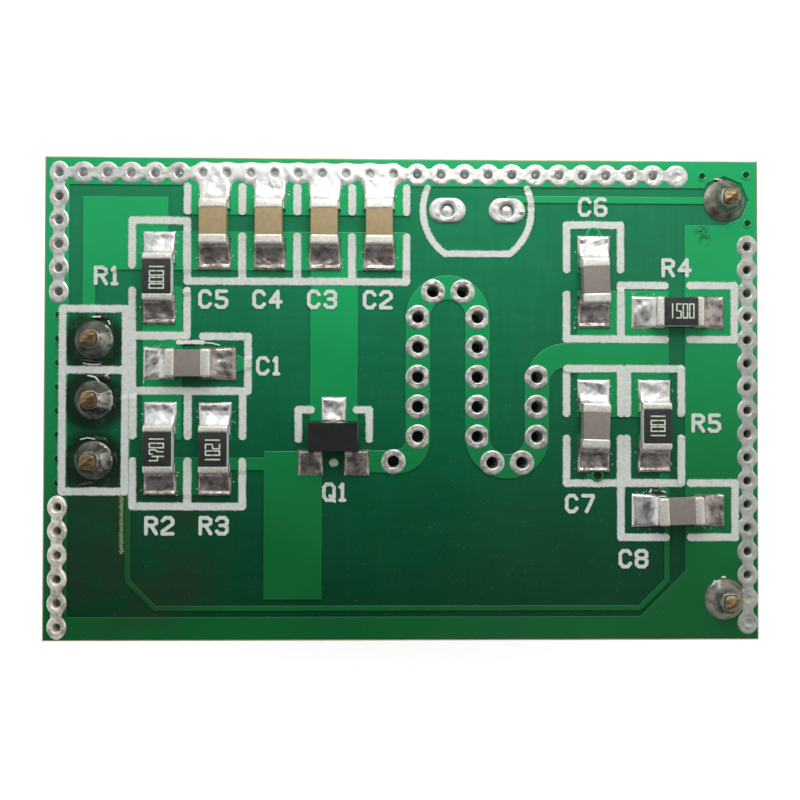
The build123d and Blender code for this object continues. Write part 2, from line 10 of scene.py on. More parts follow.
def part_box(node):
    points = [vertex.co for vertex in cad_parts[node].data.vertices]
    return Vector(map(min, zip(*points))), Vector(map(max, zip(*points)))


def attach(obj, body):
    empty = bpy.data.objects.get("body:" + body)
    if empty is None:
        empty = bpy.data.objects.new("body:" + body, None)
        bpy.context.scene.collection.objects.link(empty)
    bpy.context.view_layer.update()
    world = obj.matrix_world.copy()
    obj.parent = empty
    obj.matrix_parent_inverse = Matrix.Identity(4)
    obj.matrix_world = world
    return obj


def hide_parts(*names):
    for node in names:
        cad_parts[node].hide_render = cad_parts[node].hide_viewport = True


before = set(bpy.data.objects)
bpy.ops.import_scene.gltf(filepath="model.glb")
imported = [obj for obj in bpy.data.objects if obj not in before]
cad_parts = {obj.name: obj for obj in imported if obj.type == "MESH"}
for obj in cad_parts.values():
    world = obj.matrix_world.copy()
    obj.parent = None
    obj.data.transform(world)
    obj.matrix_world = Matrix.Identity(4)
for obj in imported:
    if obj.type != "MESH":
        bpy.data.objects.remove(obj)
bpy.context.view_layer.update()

# Looks of a small microwave motion sensor. Places of holes, lands and chips are read from the
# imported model. Sizes in this script are millimetres until a mesh is made.
MM = 0.001

# Camera: its place over the board's middle, its tilt and its lens, fitted to the photograph
IMAGE_SIDE = 800
CAMERA_HEIGHT = 36.0
PIXELS_PER_MM = 23.5565
CAMERA_TILT = (math.radians(-0.670), math.radians(1.005), math.radians(-0.139))
CAMERA_OFFSET = (0.1473, 0.0576)
SENSOR_WIDTH = 36.0

# Chips that stand askew, in degrees, the resistors' codes, those read downwards, and tan chips
CHIP_SKEW = {"c6": 2.0, "c7": -1.5, "c8": 2.0}
RESISTOR_CODES = {"r1": "1000", "r2": "4701", "r3": "1201", "r4": "1500", "r5": "1001"}
RESISTORS = list(RESISTOR_CODES)
CAPACITORS = [f"c{i}" for i in range(1, 9)]
READ_DOWN = ("r1", "r3")
TAN_CHIPS = ("c2", "c3", "c4", "c5")

# Holes by their radius: the fence's, the strip's and the light sensor's are below these limits
HOLE_LIMITS = (0.24, 0.31, 0.4)
# Vias further along Y than this are the fence's top row, and further along X its sides
ROW_START = 9.0
SIDE_START = 14.0

# Crests of tinned and of flooded lands, lumps and lip of a land, and steps round it and outwards
TIN_CREST = 0.045
FLOOD_CREST = 0.1
LAND_LUMPS = 0.01
LIP = 0.035
ROUND_STEPS = 60
LAND_RINGS = 8
# Rings of the strip: radius, and where those at its end are cut
RING_RADIUS = 0.53
RING_CUT = 0.46
# Lands of the fence: half length, half widths by place, and the neck towards a neighbour
OVAL_HALF = 0.5
ROW_LAND = 0.48
RIGHT_LAND = 0.45
LEFT_LAND = 0.42
NECK_REACH = 0.515
NECK_HALF = 0.29
# Lands that solder runs over: radius, step of the mesh, and depth and radius of the dimples
FLOODED_LAND = 0.47
FLOOD_STEP = 0.035
FLOOD_DIMPLE = 0.085
DIMPLE_RADIUS = 0.19
# Broken edge of the board and the soft edge of coated copper
EDGE_BREAK = 0.07
COAT_EDGE = 0.018

# Chips: what the model calls a body, reach and half width of a land, half sizes of a body,
# length of its ends and number of beads beside it
CHIP_BODIES = {"r": "substrate", "c": "ceramic"}
PAD_REACH = 1.98
PAD_HALF = 0.7
CHIP_SIZES = {"r": (1.0, 0.625), "c": (0.95, 0.585)}
CAPS = {"r": 0.32, "c": 0.42}
SPECKS_PER_CHIP = 16

# Transistor's lands past the CAD ones; pins: half width in the solder, taper and nipped ridge
LAND_SPREAD = 0.06
WIRE_HALF = 0.33
PIN_TAPER = 0.5
PIN_DROP = 0.4
NIP_TURN = math.radians(35)

# Printed outlines: line width, half sizes of the box round a chip and the gap in its long sides
LINE = 0.31
BOX_REACH = 2.435
BOX_HALF = 1.155
BOX_GAP = 0.37
PRINT_TOP = 8.75
HEADER_MARGIN = 1.315
PIN_PITCH = 2.54
BRACKET_SPAN = 3.0
BRACKET_LENGTH = 1.25
BRACKET_ARM = 0.7
SENSOR_LINE = 0.27
SENSOR_ROUND = 2.31
SENSOR_FLAT = 1.86

# Place names and codes: height, width and pitch of their letters, and width of their lines
NAME_CELL = (0.67, 0.43, 0.69)
NAME_LINE = 0.15
CODE_CELL = (0.58, 0.18, 0.27)
CODE_LINE = 0.055
# Spacing of the points of a printed line, and length of the waves in its sides
PRINT_STEP = 0.037
PRINT_WAVE = 0.11

# Studio: point that the lamps face, and how much light the floor gives to the camera
LAMP_TARGET = (0, 0, 10)
FLOOR_GLOW = 0.7

# How solder fills a hole: shares of the wall's radius and levels against the land
OPEN = ((1.0, -1.5), (1.0, -0.12), (1.02, -0.03), (1.07, 0.015))
PARTLY = ((0.05, -0.5), (0.5, -0.47), (0.85, -0.36), (1.0, -0.2), (1.02, -0.03), (1.07, 0.015))
MOSTLY = ((0.05, -0.34), (0.5, -0.32), (0.85, -0.26), (1.0, -0.18), (1.02, -0.03), (1.07, 0.015))
NEARLY = ((0.05, -0.06), (0.5, -0.08), (0.8, -0.13), (0.94, -0.27), (1.0, -0.27), (1.0, -0.01))
SHUT = ((0.05, 0.012), (0.5, 0.016), (0.8, 0.03), (1.05, 0.05))


def node_box(name):
    """Lowest and highest corner of a CAD node in millimetres."""
    low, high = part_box(name)
    return np.array(low) / MM, np.array(high) / MM


BOARD_LOW, BOARD_HIGH = node_box("circuit_board")
BOARD_TOP = BOARD_HIGH[2]
BOARD_BOTTOM = BOARD_LOW[2]
COPPER_TOP = node_box("copper_ground")[1][2]


def waves(x, y, scale, seed):
    """Smooth bumps between about -1 and 1, the same each run."""
    chooser = np.random.default_rng(seed)
    total = np.zeros(np.broadcast(x, y).shape)
    count = 7
    for _ in range(count):
        turn, phase = chooser.uniform(0, 2 * math.pi, 2)
        pace = chooser.uniform(0.5, 1.6) * 2 * math.pi / scale
        total = total + np.sin((x * math.cos(turn) + y * math.sin(turn)) * pace + phase)
    return total / math.sqrt(count) / 1.3


def smooth(value):
    """Ramp from 0 to 1 with soft ends."""
    t = np.clip(value, 0, 1)
    return t * t * (3 - 2 * t)


# Materials


class Nodes:
    """The node tree of a material or of the world, with short ways to add to it."""

    def __init__(self, holder, coordinates="Object"):
        holder.use_nodes = True
        self.holder = holder
        self.tree = holder.node_tree
        self.place = self.add("ShaderNodeTexCoord").outputs[coordinates]

    def put(self, socket, value):
        """Link an output to a socket, or set the socket to a plain value or colour."""
        if isinstance(value, bpy.types.NodeSocket):
            self.tree.links.new(value, socket)
        else:
            socket.default_value = (*value, 1) if socket.type == "RGBA" else value

    def add(self, kind, inputs=(), **settings):
        """New node with its settings, and what goes to its inputs by name or number."""
        node = self.tree.nodes.new(kind)
        for key, value in settings.items():
            setattr(node, key, value)
        for key, value in dict(inputs).items():
            self.put(node.inputs[key], value)
        return node

    def noise(self, size, detail=2.0, roughness=0.5, stretch=(1, 1, 1)):
        """Noise whose features are about the given size in millimetres."""
        scale = [s / (size * MM) for s in stretch]
        mapping = self.add("ShaderNodeMapping", {"Vector": self.place, "Scale": scale})
        return self.add("ShaderNodeTexNoise", {
            "Vector": mapping.outputs["Vector"], "Scale": 1.0, "Detail": detail, "Roughness": roughness,
        }).outputs["Fac"]

    def ramp(self, source, start, low, end, high):
        """Two colours, each held on its side of the span between two values."""
        node = self.add("ShaderNodeValToRGB", {"Fac": source})
        for element, position, colour in zip(node.color_ramp.elements, (start, end), (low, high)):
            element.position = position
            element.color = (*colour, 1)
        return node.outputs["Color"]

    def span(self, source, low, high, out_low=0.0, out_high=1.0):
        """A value mapped from one span to another, held at the ends."""
        return self.add("ShaderNodeMapRange", {
            "Value": source, "From Min": low, "From Max": high, "To Min": out_low, "To Max": out_high,
        }, interpolation_type="SMOOTHSTEP").outputs["Result"]

    def math(self, operation, first, second):
        """Result of one operation on two values or outputs."""
        return self.add("ShaderNodeMath", {0: first, 1: second}, operation=operation).outputs["Value"]

    def mix(self, factor, first, second, blend="MIX"):
        """Two colours mixed; each is a colour or an output."""
        return self.add("ShaderNodeMix", {0: factor, 6: first, 7: second},
                        data_type="RGBA", blend_type=blend).outputs[2]

    def axis(self, index):
        """One coordinate of the surface in metres."""
        return self.add("ShaderNodeSeparateXYZ", {0: self.place}).outputs[index]

    def near(self, spots, inner, outer):
        """1 near any of the points in millimetres, falling to 0 between the two distances."""
        flat = self.add("ShaderNodeVectorMath", {0: self.place, 1: (1, 1, 0)}, operation="MULTIPLY")
        nearest = None
        for x, y in spots:
            away = self.add("ShaderNodeVectorMath", {0: flat.outputs[0], 1: (x * MM, y * MM, 0)},
                            operation="DISTANCE").outputs["Value"]
            nearest = away if nearest is None else self.math("MINIMUM", nearest, away)
        return self.span(nearest, inner * MM, outer * MM, 1.0, 0.0)

    def bump(self, source, depth, after=None):
        """Bumps of the given depth in millimetres."""
        node = self.add("ShaderNodeBump", {"Strength": 1.0, "Distance": depth * MM, "Height": source})
        if after is not None:
            self.put(node.inputs["Normal"], after)
        return node.outputs["Normal"]

    def finish(self, colour, roughness, normal=None, **values):
        """Give the shader what is linked and its plain values, and return the material."""
        shader = self.tree.nodes["Principled BSDF"]
        for key, value in {"Base Color": colour, "Roughness": roughness, "Normal": normal, **values}.items():
            if value is not None:
                self.put(shader.inputs[key.replace("_", " ")], value)
        return self.holder


def new_material(name):
    """Node tree of a new material."""
    return Nodes(bpy.data.materials.new(name))


# Stains on the coat: their places, the distances between which they fade, the size and levels of
# their patches, their strength and their colour
STAINS = [
    ([(-13.1, 2.3), (-13.1, -0.1), (-13.1, -2.7)],
     1.05, 1.7, 0.7, 0.15, 0.45, 0.9, (0.006, 0.016, 0.007)),
    ([(12.72, 7.18), (12.84, 6.85)], 0.05, 0.42, 0.25, 0.35, 0.6, 0.75, (0.012, 0.055, 0.024)),
    ([(-12.6, -5.4), (-12.4, -7.6), (-10.2, -7.4), (-9.6, -5.8)],
     1.0, 3.4, 2.5, 0.25, 0.6, 0.55, (0.022, 0.03, 0.016)),
]


def coated(name, dark, light, fibre, gloss=0.28):
    """Green coat with painted shade that darkens it towards the lower side, with faint fibres, specks and
    stains.
    """
    n = new_material(name)
    # Painted shade: the colour runs from dark at the lower side to light at the upper side
    base = n.ramp(n.span(n.axis(1), -BOARD_HIGH[1] * MM, BOARD_HIGH[1] * MM), 0.0, dark, 1.0, light)
    cloud = n.span(n.noise(5.0, 3.0), 0.3, 0.7, 0.88, 1.0)
    base = n.mix(1.0, base, n.ramp(cloud, 0.0, (0, 0, 0), 1.0, (1, 1, 1)), "MULTIPLY")
    threads = n.noise(0.35, 1.0, 0.4, (1, 0.12, 1))
    cross = n.noise(0.35, 1.0, 0.4, (0.12, 1, 1))
    weave = n.span(n.math("MULTIPLY", threads, cross), 0.18, 0.34)
    base = n.mix(n.math("MULTIPLY", weave, fibre), base, n.mix(1.0, base, (1.5, 1.3, 1.4), "MULTIPLY"))
    speck = n.span(n.noise(0.1, 0.0), 0.79, 0.84)
    base = n.mix(n.math("MULTIPLY", speck, 0.15), base, (0.15, 0.3, 0.2))
    for spots, inner, outer, size, low, high, strength, colour in STAINS:
        patchy = n.math("MULTIPLY", n.near(spots, inner, outer), n.span(n.noise(size, 3.0), low, high))
        base = n.mix(n.math("MULTIPLY", patchy, strength), base, colour)
    rough = n.span(n.noise(1.4, 3.0), 0.3, 0.7, 0.12, 0.24)
    return n.finish(base, rough, n.bump(n.noise(0.5, 2.0), 0.004), Specular_IOR_Level=gloss)


def grained(name, low, high, rough, grain, lumps, depth, start=0.3, end=0.7, **values):
    """Two colours mixed by a grain, with lumps; grain and lumps are what the noise takes."""
    n = new_material(name)
    base = n.ramp(n.noise(*grain), start, low, end, high)
    return n.finish(base, rough, n.bump(n.noise(*lumps), depth), **values)


def tin(name, clean, stained, stain_amount, rough, lump_size=0.5, lump_depth=0.02, metal=1.0):
    """Tinned or soldered metal: bright, with lumps and brown to grey stains of flux."""
    n = new_material(name)
    patches = n.span(n.noise(lump_size * 1.3, 4.0, 0.6), 0.42, 0.62)
    grime = n.span(n.noise(0.22, 3.0, 0.6), 0.5, 0.7)
    amount = n.math("MULTIPLY", n.math("MAXIMUM", patches, n.math("MULTIPLY", grime, 0.6)), stain_amount)
    base = n.mix(amount, clean, n.ramp(n.noise(0.4, 2.0), 0.3, stained, 0.7, (0.28, 0.27, 0.25)))
    roughness = n.span(n.noise(0.3, 3.0), 0.3, 0.7, rough * 0.6, rough * 1.5)
    lumps = n.bump(n.noise(lump_size, 3.0, 0.55), lump_depth)
    return n.finish(base, roughness, n.bump(n.noise(0.06, 2.0), 0.0012, lumps), Metallic=metal)


def ceramic(name, low, high):
    """Fired ceramic with a fine grain."""
    return grained(name, low, high, 0.5, (0.25, 5.0, 0.7), (0.1, 3.0), 0.004)


def ink(name, low, high, grain):
    """Printed ink, a little uneven."""
    return grained(name, low, high, 0.55, (grain, 4.0, 0.6), (0.12, 3.0), 0.006, 0.32, 0.6)


def moulded(name, low, high, rough):
    """Moulded resin or fired glaze with a faint grain."""
    return grained(name, low, high, rough, (0.3, 4.0, 0.6), (0.07, 3.0), 0.006)


def pin_metal():
    """Tin on a copper alloy, bare and brown with streaks where the wire was nipped."""
    n = new_material("pin_wire")
    tinned = n.ramp(n.noise(0.5, 3.0), 0.3, (0.45, 0.44, 0.41), 0.7, (0.7, 0.69, 0.65))
    streaks = n.noise(0.1, 3.0, 0.6, (0.3, 1, 1))
    bare = n.ramp(streaks, 0.35, (0.08, 0.055, 0.022), 0.65, (0.28, 0.2, 0.09))
    cut = n.span(n.axis(2), (BOARD_TOP + 0.5) * MM, (BOARD_TOP + 0.62) * MM)
    return n.finish(n.mix(cut, tinned, bare), 0.38, n.bump(streaks, 0.015), Metallic=0.5)


# Grain of the sawn edge: threads along the board
THREADS = (0.5, 3.0, 0.6, (0.25, 0.25, 5))

GREEN = coated("green_coat", (0.001, 0.052, 0.019), (0.007, 0.225, 0.092), 0.25)
GREEN_COPPER = coated("green_coat_on_copper", (0.006, 0.13, 0.032), (0.010, 0.43, 0.135), 0.0)
# Coat on the copper's rounded edges: glossier, and a little lighter as a painted highlight
COAT_STEP_HIGHLIGHT = coated("green_coat_step_highlight", (0.006, 0.13, 0.032), (0.02, 0.43, 0.15), 0.0, 0.6)
EDGE = grained("laminate_edge", (0.5, 0.46, 0.29), (0.7, 0.66, 0.47), 0.7, THREADS, THREADS, 0.02)
SOLDER = tin("solder", (0.82, 0.82, 0.8), (0.4, 0.36, 0.32), 0.4, 0.3, 0.8, 0.012)
# Darker solder of the near joints: partly flux stain, partly painted shade
STAINED_SHADED_SOLDER = tin("stained_and_shaded_solder", (0.52, 0.47, 0.44), (0.2, 0.13, 0.105), 0.9, 0.26, 0.28, 0.02, 0.85)
FLUXED = tin("fluxed_solder", (0.2, 0.19, 0.155), (0.035, 0.036, 0.024), 0.85, 0.3, 0.8, 0.02, 0.6)
DARK_JOINT = tin("dark_joint", (0.085, 0.09, 0.07), (0.015, 0.02, 0.012), 0.85, 0.26, 0.6, 0.03, 0.5)
# Lighter solder of the header's wings, and a painted highlight on the corner posts
WING_AND_HIGHLIGHT = tin("solder_wing_and_painted_highlight", (0.4, 0.41, 0.36), (0.14, 0.15, 0.11), 0.6, 0.4, 0.4, 0.02, 0.6)
# White lines that stand for glints on flux: painted highlight
PAINTED_GLINT = ink("painted_glint_white", (0.6, 0.62, 0.58), (0.85, 0.86, 0.82), 0.1)
FLOODED = tin("flooded_solder", (0.88, 0.88, 0.86), (0.6, 0.58, 0.55), 0.3, 0.45, 0.4, 0.006, 0.5)
WARM_TIN = tin("warm_tin", (0.97, 0.95, 0.84), (0.3, 0.24, 0.14), 0.75, 0.36, 0.4, 0.012, 0.35)
BRIGHT_TIN = tin("bright_tin", (0.74, 0.76, 0.72), (0.45, 0.42, 0.37), 0.5, 0.42, 0.4, 0.01, 0.7)
DULL_TIN = tin("dull_tin", (0.6, 0.63, 0.57), (0.36, 0.37, 0.32), 0.5, 0.6, 0.7, 0.006, 0.75)
# Darker tin for the dimples: painted shade
SHADED_DIMPLE_TIN = tin("dimple_tin_painted_shade", (0.42, 0.43, 0.4), (0.22, 0.22, 0.2), 0.6, 0.45, 0.2, 0.02, 0.7)
PLATED = grained("plated_end", (0.58, 0.56, 0.49), (0.9, 0.88, 0.8), 0.42,
                 (0.12, 4.0, 0.65), (0.08, 3.0, 0.6), 0.008, 0.3, 0.65, Metallic=0.6)
TAN = ceramic("tan_ceramic", (0.34, 0.245, 0.12), (0.43, 0.325, 0.17))
GREY = ceramic("grey_ceramic", (0.22, 0.19, 0.172), (0.28, 0.245, 0.222))
ALUMINA = ceramic("alumina", (0.62, 0.62, 0.58), (0.8, 0.8, 0.76))
GLAZE = moulded("black_glaze", (0.016, 0.02, 0.018), (0.036, 0.043, 0.04), 0.3)
CASE = moulded("black_resin", (0.003, 0.005, 0.004), (0.010, 0.013, 0.012), 0.4)
PLASTIC = moulded("black_plastic", (0.01, 0.01, 0.01), (0.028, 0.028, 0.028), 0.42)
LEGEND = ink("legend_ink", (0.58, 0.63, 0.57), (0.71, 0.76, 0.7), 0.15)
CODE_INK = ink("code_ink", (0.5, 0.53, 0.4), (0.75, 0.78, 0.62), 0.15)
WIRE = pin_metal()
FLUX = grained("hard_flux", (0.003, 0.012, 0.005), (0.012, 0.03, 0.01), 0.08,
               (0.4, 3.0), (0.3, 2.0), 0.01, 0.35, 0.7)
RING_TIN = tin("ring_tin", (0.7, 0.72, 0.66), (0.26, 0.26, 0.22), 0.7, 0.4, 0.22, 0.02, 0.75)
# Dark coat in the vias: painted shade
VIA_SHADE_FILM = coated("coat_over_via_painted_shade", (0.01, 0.03, 0.016), (0.012, 0.05, 0.025), 0.0)
DIMPLE = coated("coat_in_dimple", (0.002, 0.02, 0.009), (0.003, 0.035, 0.015), 0.0)
SCUFF = ink("scuffed_coat", (0.03, 0.11, 0.035), (0.22, 0.3, 0.12), 0.12)


# Meshes


def linked(name, data):
    """New object in the scene."""
    made = bpy.data.objects.new(name, data)
    bpy.context.scene.collection.objects.link(made)
    return made


def as_data(bm, name):
    """Mesh data from a mesh being built."""
    data = bpy.data.meshes.new(name)
    bm.to_mesh(data)
    bm.free()
    return data


def piece(name, mesh, materials, slot, replaces=(), smooth_shading=True):
    """Make a mesh, given in millimetres, a piece that rides on the module."""
    if isinstance(mesh, bmesh.types.BMesh):
        mesh = as_data(mesh, name)
    mesh.transform(Matrix.Scale(MM, 4))
    mesh.name = name
    for material in materials:
        mesh.materials.append(material)
    mesh.polygons.foreach_set("use_smooth", [smooth_shading] * len(mesh.polygons))
    made = linked(name, mesh)
    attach(made, "root")
    if replaces:
        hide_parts(*replaces)
    return made


def grid_mesh(points, closed_round=False):
    """Mesh from rows of points; each row may close on itself."""
    rows, columns = points.shape[:2]
    bm = bmesh.new()
    verts = [[bm.verts.new(point) for point in row] for row in points]
    for i in range(rows - 1):
        for j in range(columns if closed_round else columns - 1):
            k = (j + 1) % columns
            bm.faces.new((verts[i][j], verts[i][k], verts[i + 1][k], verts[i + 1][j]))
    return bm


def sheet_mesh(x, y, level):
    """Mesh over a grid of places."""
    return grid_mesh(np.stack(np.broadcast_arrays(x, y, level), -1))


def full_turn(steps):
    """Angles evenly round a circle."""
    return np.arange(steps) * 2 * math.pi / steps


def ring_mesh(x, y, rows, turns):
    """Mesh from rings round a point; each row is a radius and a level, plain or for every angle."""
    rings = [np.broadcast_arrays(x + radius * np.cos(turns), y + radius * np.sin(turns), level)
             for radius, level in rows]
    return grid_mesh(np.moveaxis(np.array(rings, float), 1, -1), closed_round=True)


def away_from(face, x, y):
    """Distance of a face's middle from a place on the board."""
    middle = face.calc_center_median()
    return math.hypot(middle.x - x, middle.y - y)


def joined(parts):
    """One mesh from several."""
    whole = bmesh.new()
    for part in parts:
        data = as_data(part, "part")
        whole.from_mesh(data)
        bpy.data.meshes.remove(data)
    return whole


def node_mesh(name):
    """Mesh of a CAD node in millimetres."""
    bm = bmesh.new()
    bm.from_mesh(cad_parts[name].data)
    bm.transform(Matrix.Scale(1 / MM, 4))
    bmesh.ops.remove_doubles(bm, verts=bm.verts, dist=0.0005)
    return bm


def top_loops(name):
    """Outlines of a CAD node's top face, the outer one first."""
    bm = node_mesh(name)
    level = max(v.co.z for v in bm.verts)
    on_top = {f for f in bm.faces if f.normal.z > 0.99 and f.calc_center_median().z > level - 0.002}
    rim = [e for e in bm.edges if sum(f in on_top for f in e.link_faces) == 1]
    follow = {}
    for edge in rim:
        a, b = edge.verts
        follow.setdefault(a, []).append(b)
        follow.setdefault(b, []).append(a)
    loops = []
    while follow:
        start, ahead = next(iter(follow.items()))
        loop, previous, current = [start], start, ahead[0]
        while current is not start:
            loop.append(current)
            a, b = follow[current]
            previous, current = current, (b if a is previous else a)
        for vert in loop:
            follow.pop(vert)
        loops.append(np.array([v.co[:2] for v in loop]))
    bm.free()
    return sorted(loops, key=lambda points: -np.ptp(points[:, 0]) * np.ptp(points[:, 1]))


def circle(x, y, radius):
    """Points round a circle."""
    turns = full_turn(ROUND_STEPS)
    return np.stack([x + radius * np.cos(turns), y + radius * np.sin(turns)], 1)


def as_hole(points):
    """Centre and radius of a many-sided hole."""
    centre = points.mean(0)
    return centre[0], centre[1], np.linalg.norm(points - centre, axis=1).max()


def rounded_holes(loops):
    """The same loops, with the many-sided holes made round."""
    rounds = []
    for points in loops:
        x, y, radius = as_hole(points)
        reach = np.hypot(points[:, 0] - x, points[:, 1] - y)
        rounds.append(circle(x, y, radius) if radius < 0.8 and np.ptp(reach) < 0.02 else points)
    return rounds


def plate(loops, low, high, edge):
    """Flat plate between two levels from outlines and holes, with its edges rounded by edge."""
    curve = bpy.data.curves.new("plate", "CURVE")
    curve.dimensions = "2D"
    curve.fill_mode = "BOTH"
    curve.extrude = (high - low) / 2 - edge
    curve.bevel_depth = edge
    curve.bevel_resolution = 1
    curve.offset = -edge
    for points in loops:
        spline = curve.splines.new("POLY")
        spline.points.add(len(points) - 1)
        for point, (x, y) in zip(spline.points, points):
            point.co = (x, y, 0, 1)
        spline.use_cyclic_u = True
    holder = linked("plate", curve)
    depsgraph = bpy.context.evaluated_depsgraph_get()
    mesh = bpy.data.meshes.new_from_object(holder.evaluated_get(depsgraph))
    bpy.data.objects.remove(holder)
    bpy.data.curves.remove(curve)
    mesh.transform(Matrix.Translation((0, 0, (low + high) / 2)))
    return mesh


def rounded_block(size, radius, steps=3):
    """Block standing on level 0 with rounded edges."""
    bm = bmesh.new()
    bmesh.ops.create_cube(bm, size=1)
    bmesh.ops.scale(bm, vec=size, verts=bm.verts)
    bmesh.ops.translate(bm, vec=(0, 0, size[2] / 2), verts=bm.verts)
    bmesh.ops.bevel(bm, geom=bm.edges, offset=radius, segments=steps, profile=0.6, affect="EDGES")
    return bm


def blob(radius, seed, flat=0.6):
    """Small uneven drop."""
    bm = bmesh.new()
    bmesh.ops.create_icosphere(bm, subdivisions=2, radius=radius)
    for vert in bm.verts:
        x, y, z = vert.co / radius
        vert.co *= 1 + 0.25 * float(waves(x, y + z, 2.5, seed))
        vert.co.z *= flat
    return bm


def swell(rim, height, reach=0.05):
    """Rise from a rim inwards to a level crown."""
    return height * (1 - np.exp(-np.maximum(rim, 0) / reach))


def solder_lumps(u, v, rim, seed, fine_seed):
    """Lumps of solder, large and fine, that fade at the rim."""
    return (0.018 * waves(u, v, 0.7, seed) + 0.004 * waves(u, v, 0.3, fine_seed)) * smooth(rim / 0.2)


def squarish(turns, half, power):
    """Radius of a square with rounded corners, rounder for a lower power."""
    return half / (np.abs(np.cos(turns)) ** power + np.abs(np.sin(turns)) ** power) ** (1 / power)


def placed(bm, x, y, z, turn=0.0):
    """Turn a mesh about Z, in degrees, and move it."""
    bm.transform(Matrix.Translation((x, y, z)) @ Matrix.Rotation(math.radians(turn), 4, "Z"))
    return bm


# Board and copper

COPPER_NODES = [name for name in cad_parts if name.startswith("copper_")]

# Vias under the coat: place, radius of the ring that shows, and level over the board
TENTED_VIAS = [(-14.55, y, 0.21, 0.034) for y in np.linspace(3.49, -3.6, 8)]
TENTED_VIAS += [(14.65, 9.6, 0.22, 0.034), (12.75, 9.53, 0.22, 0.034), (14.7, 7.53, 0.22, 0.034)]
TENTED_VIAS += [(8.24, -3.24, 0.29, 0.15), (-7.25, 1.5, 0.26, 0.034)]
RINGED_VIA = (8.08, 7.05, 0.3, 0.034)
# Shares of that radius and levels against the ring's crest
TENT = ((0.88, -0.002), (0.74, -0.002), (0.6, -0.02), (0.35, -0.029), (0.05, -0.031))


def surface_level(x, y):
    """Height of the board or of the copper on it."""
    hit = GROUND.ray_cast(Vector((x * MM, y * MM, 1)), Vector((0, 0, -1)))[0]
    return hit.z / MM if hit else BOARD_TOP


def ground_tree():
    """Copper as one surface to lay print on."""
    bm = bmesh.new()
    for name in COPPER_NODES:
        bm.from_mesh(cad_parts[name].data)
    return BVHTree.FromBMesh(bm)


GROUND = ground_tree()


def hole_list(name):
    """Centres and radii of the round holes of a CAD plate."""
    return [as_hole(points) for points in top_loops(name)[1:]]


BOARD_HOLES = hole_list("circuit_board")
FENCE_HOLES, STRIP_HOLES, SENSOR_HOLES, PIN_HOLES = (
    [h for h in BOARD_HOLES if low <= h[2] < high]
    for low, high in zip((0, *HOLE_LIMITS), (*HOLE_LIMITS, math.inf)))


def dress_plate(name, node, mesh, faces, edges, slot):
    """Plate in place of a CAD node, with one finish on its faces and one round its edges."""
    made = piece(name, mesh, [faces, edges], slot, [node], False)
    for face in made.data.polygons:
        face.material_index = int(abs(face.normal.z) < 0.95)


def make_board():
    """Laminate with round holes: green faces that stop short of the bare sawn edge."""
    loops = [top_loops("circuit_board")[0]] + [circle(*hole) for hole in BOARD_HOLES]
    mesh = plate(loops, BOARD_BOTTOM, BOARD_TOP, EDGE_BREAK)
    dress_plate("board_laminate", "circuit_board", mesh, GREEN, EDGE, "solder_mask")


def make_copper():
    """Copper under the green coat, with the soft edges that the coat gives it; the edges take a glossier
    coat with a faint painted highlight.
    """
    for name in COPPER_NODES:
        mesh = plate(rounded_holes(top_loops(name)), BOARD_TOP, COPPER_TOP, COAT_EDGE)
        dress_plate(f"{name}_coated", name, mesh, GREEN_COPPER, COAT_STEP_HIGHLIGHT, "masked_copper")


def make_via_films():
    """Dark discs close each via on the solder side: painted shade, so that the holes look dark from above.
    """
    discs = []
    for x, y, hole in FENCE_HOLES + STRIP_HOLES:
        bm = bmesh.new()
        bmesh.ops.create_circle(bm, cap_ends=True, segments=16, radius=hole)
        discs.append(placed(bm, x, y, BOARD_BOTTOM + 0.03))
    piece("via_films", joined(discs), [VIA_SHADE_FILM], "solder_mask", smooth_shading=False)


def make_tented_vias():
    """Vias that the coat covers: a low green ring round a dark dimple; one has no dimple."""
    parts = []
    for x, y, ring, lift in TENTED_VIAS + [RINGED_VIA]:
        floor = surface_level(x + ring, y)
        rows = [(ring, floor + 0.002)] + [(ring * out, floor + lift + level) for out, level in TENT]
        bm = ring_mesh(x, y, rows, full_turn(24))
        dimple = 2 if (x, y) == RINGED_VIA[:2] else 1
        for face in bm.faces:
            face.material_index = dimple if away_from(face, x, y) < ring * 0.66 else 0
        parts.append(bm)
    piece("tented_vias", joined(parts), [GREEN_COPPER, DIMPLE, GREEN], "solder_mask")


def land(x, y, hole, reach, crest, base, fill, seed):
    """Tinned land round a hole: barrel or fill, rounded lip and a low crown that ends on the board.

    reach is a function of the angle, and crest one of the angle and the share of the way out.
    """
    turns = full_turn(ROUND_STEPS)
    rows = [((hole - LIP) * out, base + level) for out, level in fill]
    inner, outer = hole + LIP * 0.6, reach(turns)
    for share in np.arange(LAND_RINGS + 1) / LAND_RINGS:
        radius = inner + (outer - inner) * share
        px, py = x + radius * np.cos(turns), y + radius * np.sin(turns)
        lumps = LAND_LUMPS * waves(px, py, 0.35, seed) * (1 - share)
        rows.append((radius, base + crest(turns, share) + lumps))
    return ring_mesh(x, y, rows, turns)


def crown(height):
    """Low crown that meets the board at its rim."""
    return lambda turns, share: np.full(len(turns), height * (1 - share ** 9) - 0.012 * share ** 9)


def make_strip_rings():
    """Tinned rings along the strip, cut straight where the strip ends."""
    parts = []
    for number, (x, y, hole) in enumerate(STRIP_HOLES):
        cut = RING_CUT if x > 0.2 and -2.4 < y < 4.2 else RING_RADIUS

        def reach(turns, cut=cut):
            return np.minimum(RING_RADIUS, cut / np.maximum(np.cos(turns), 1e-3))

        parts.append(land(x, y, hole, reach, crown(TIN_CREST), COPPER_TOP, OPEN, 20 + number))
    piece("strip_via_lands", joined(parts), [RING_TIN], "tinned_copper", ["resonator_via_rings"])


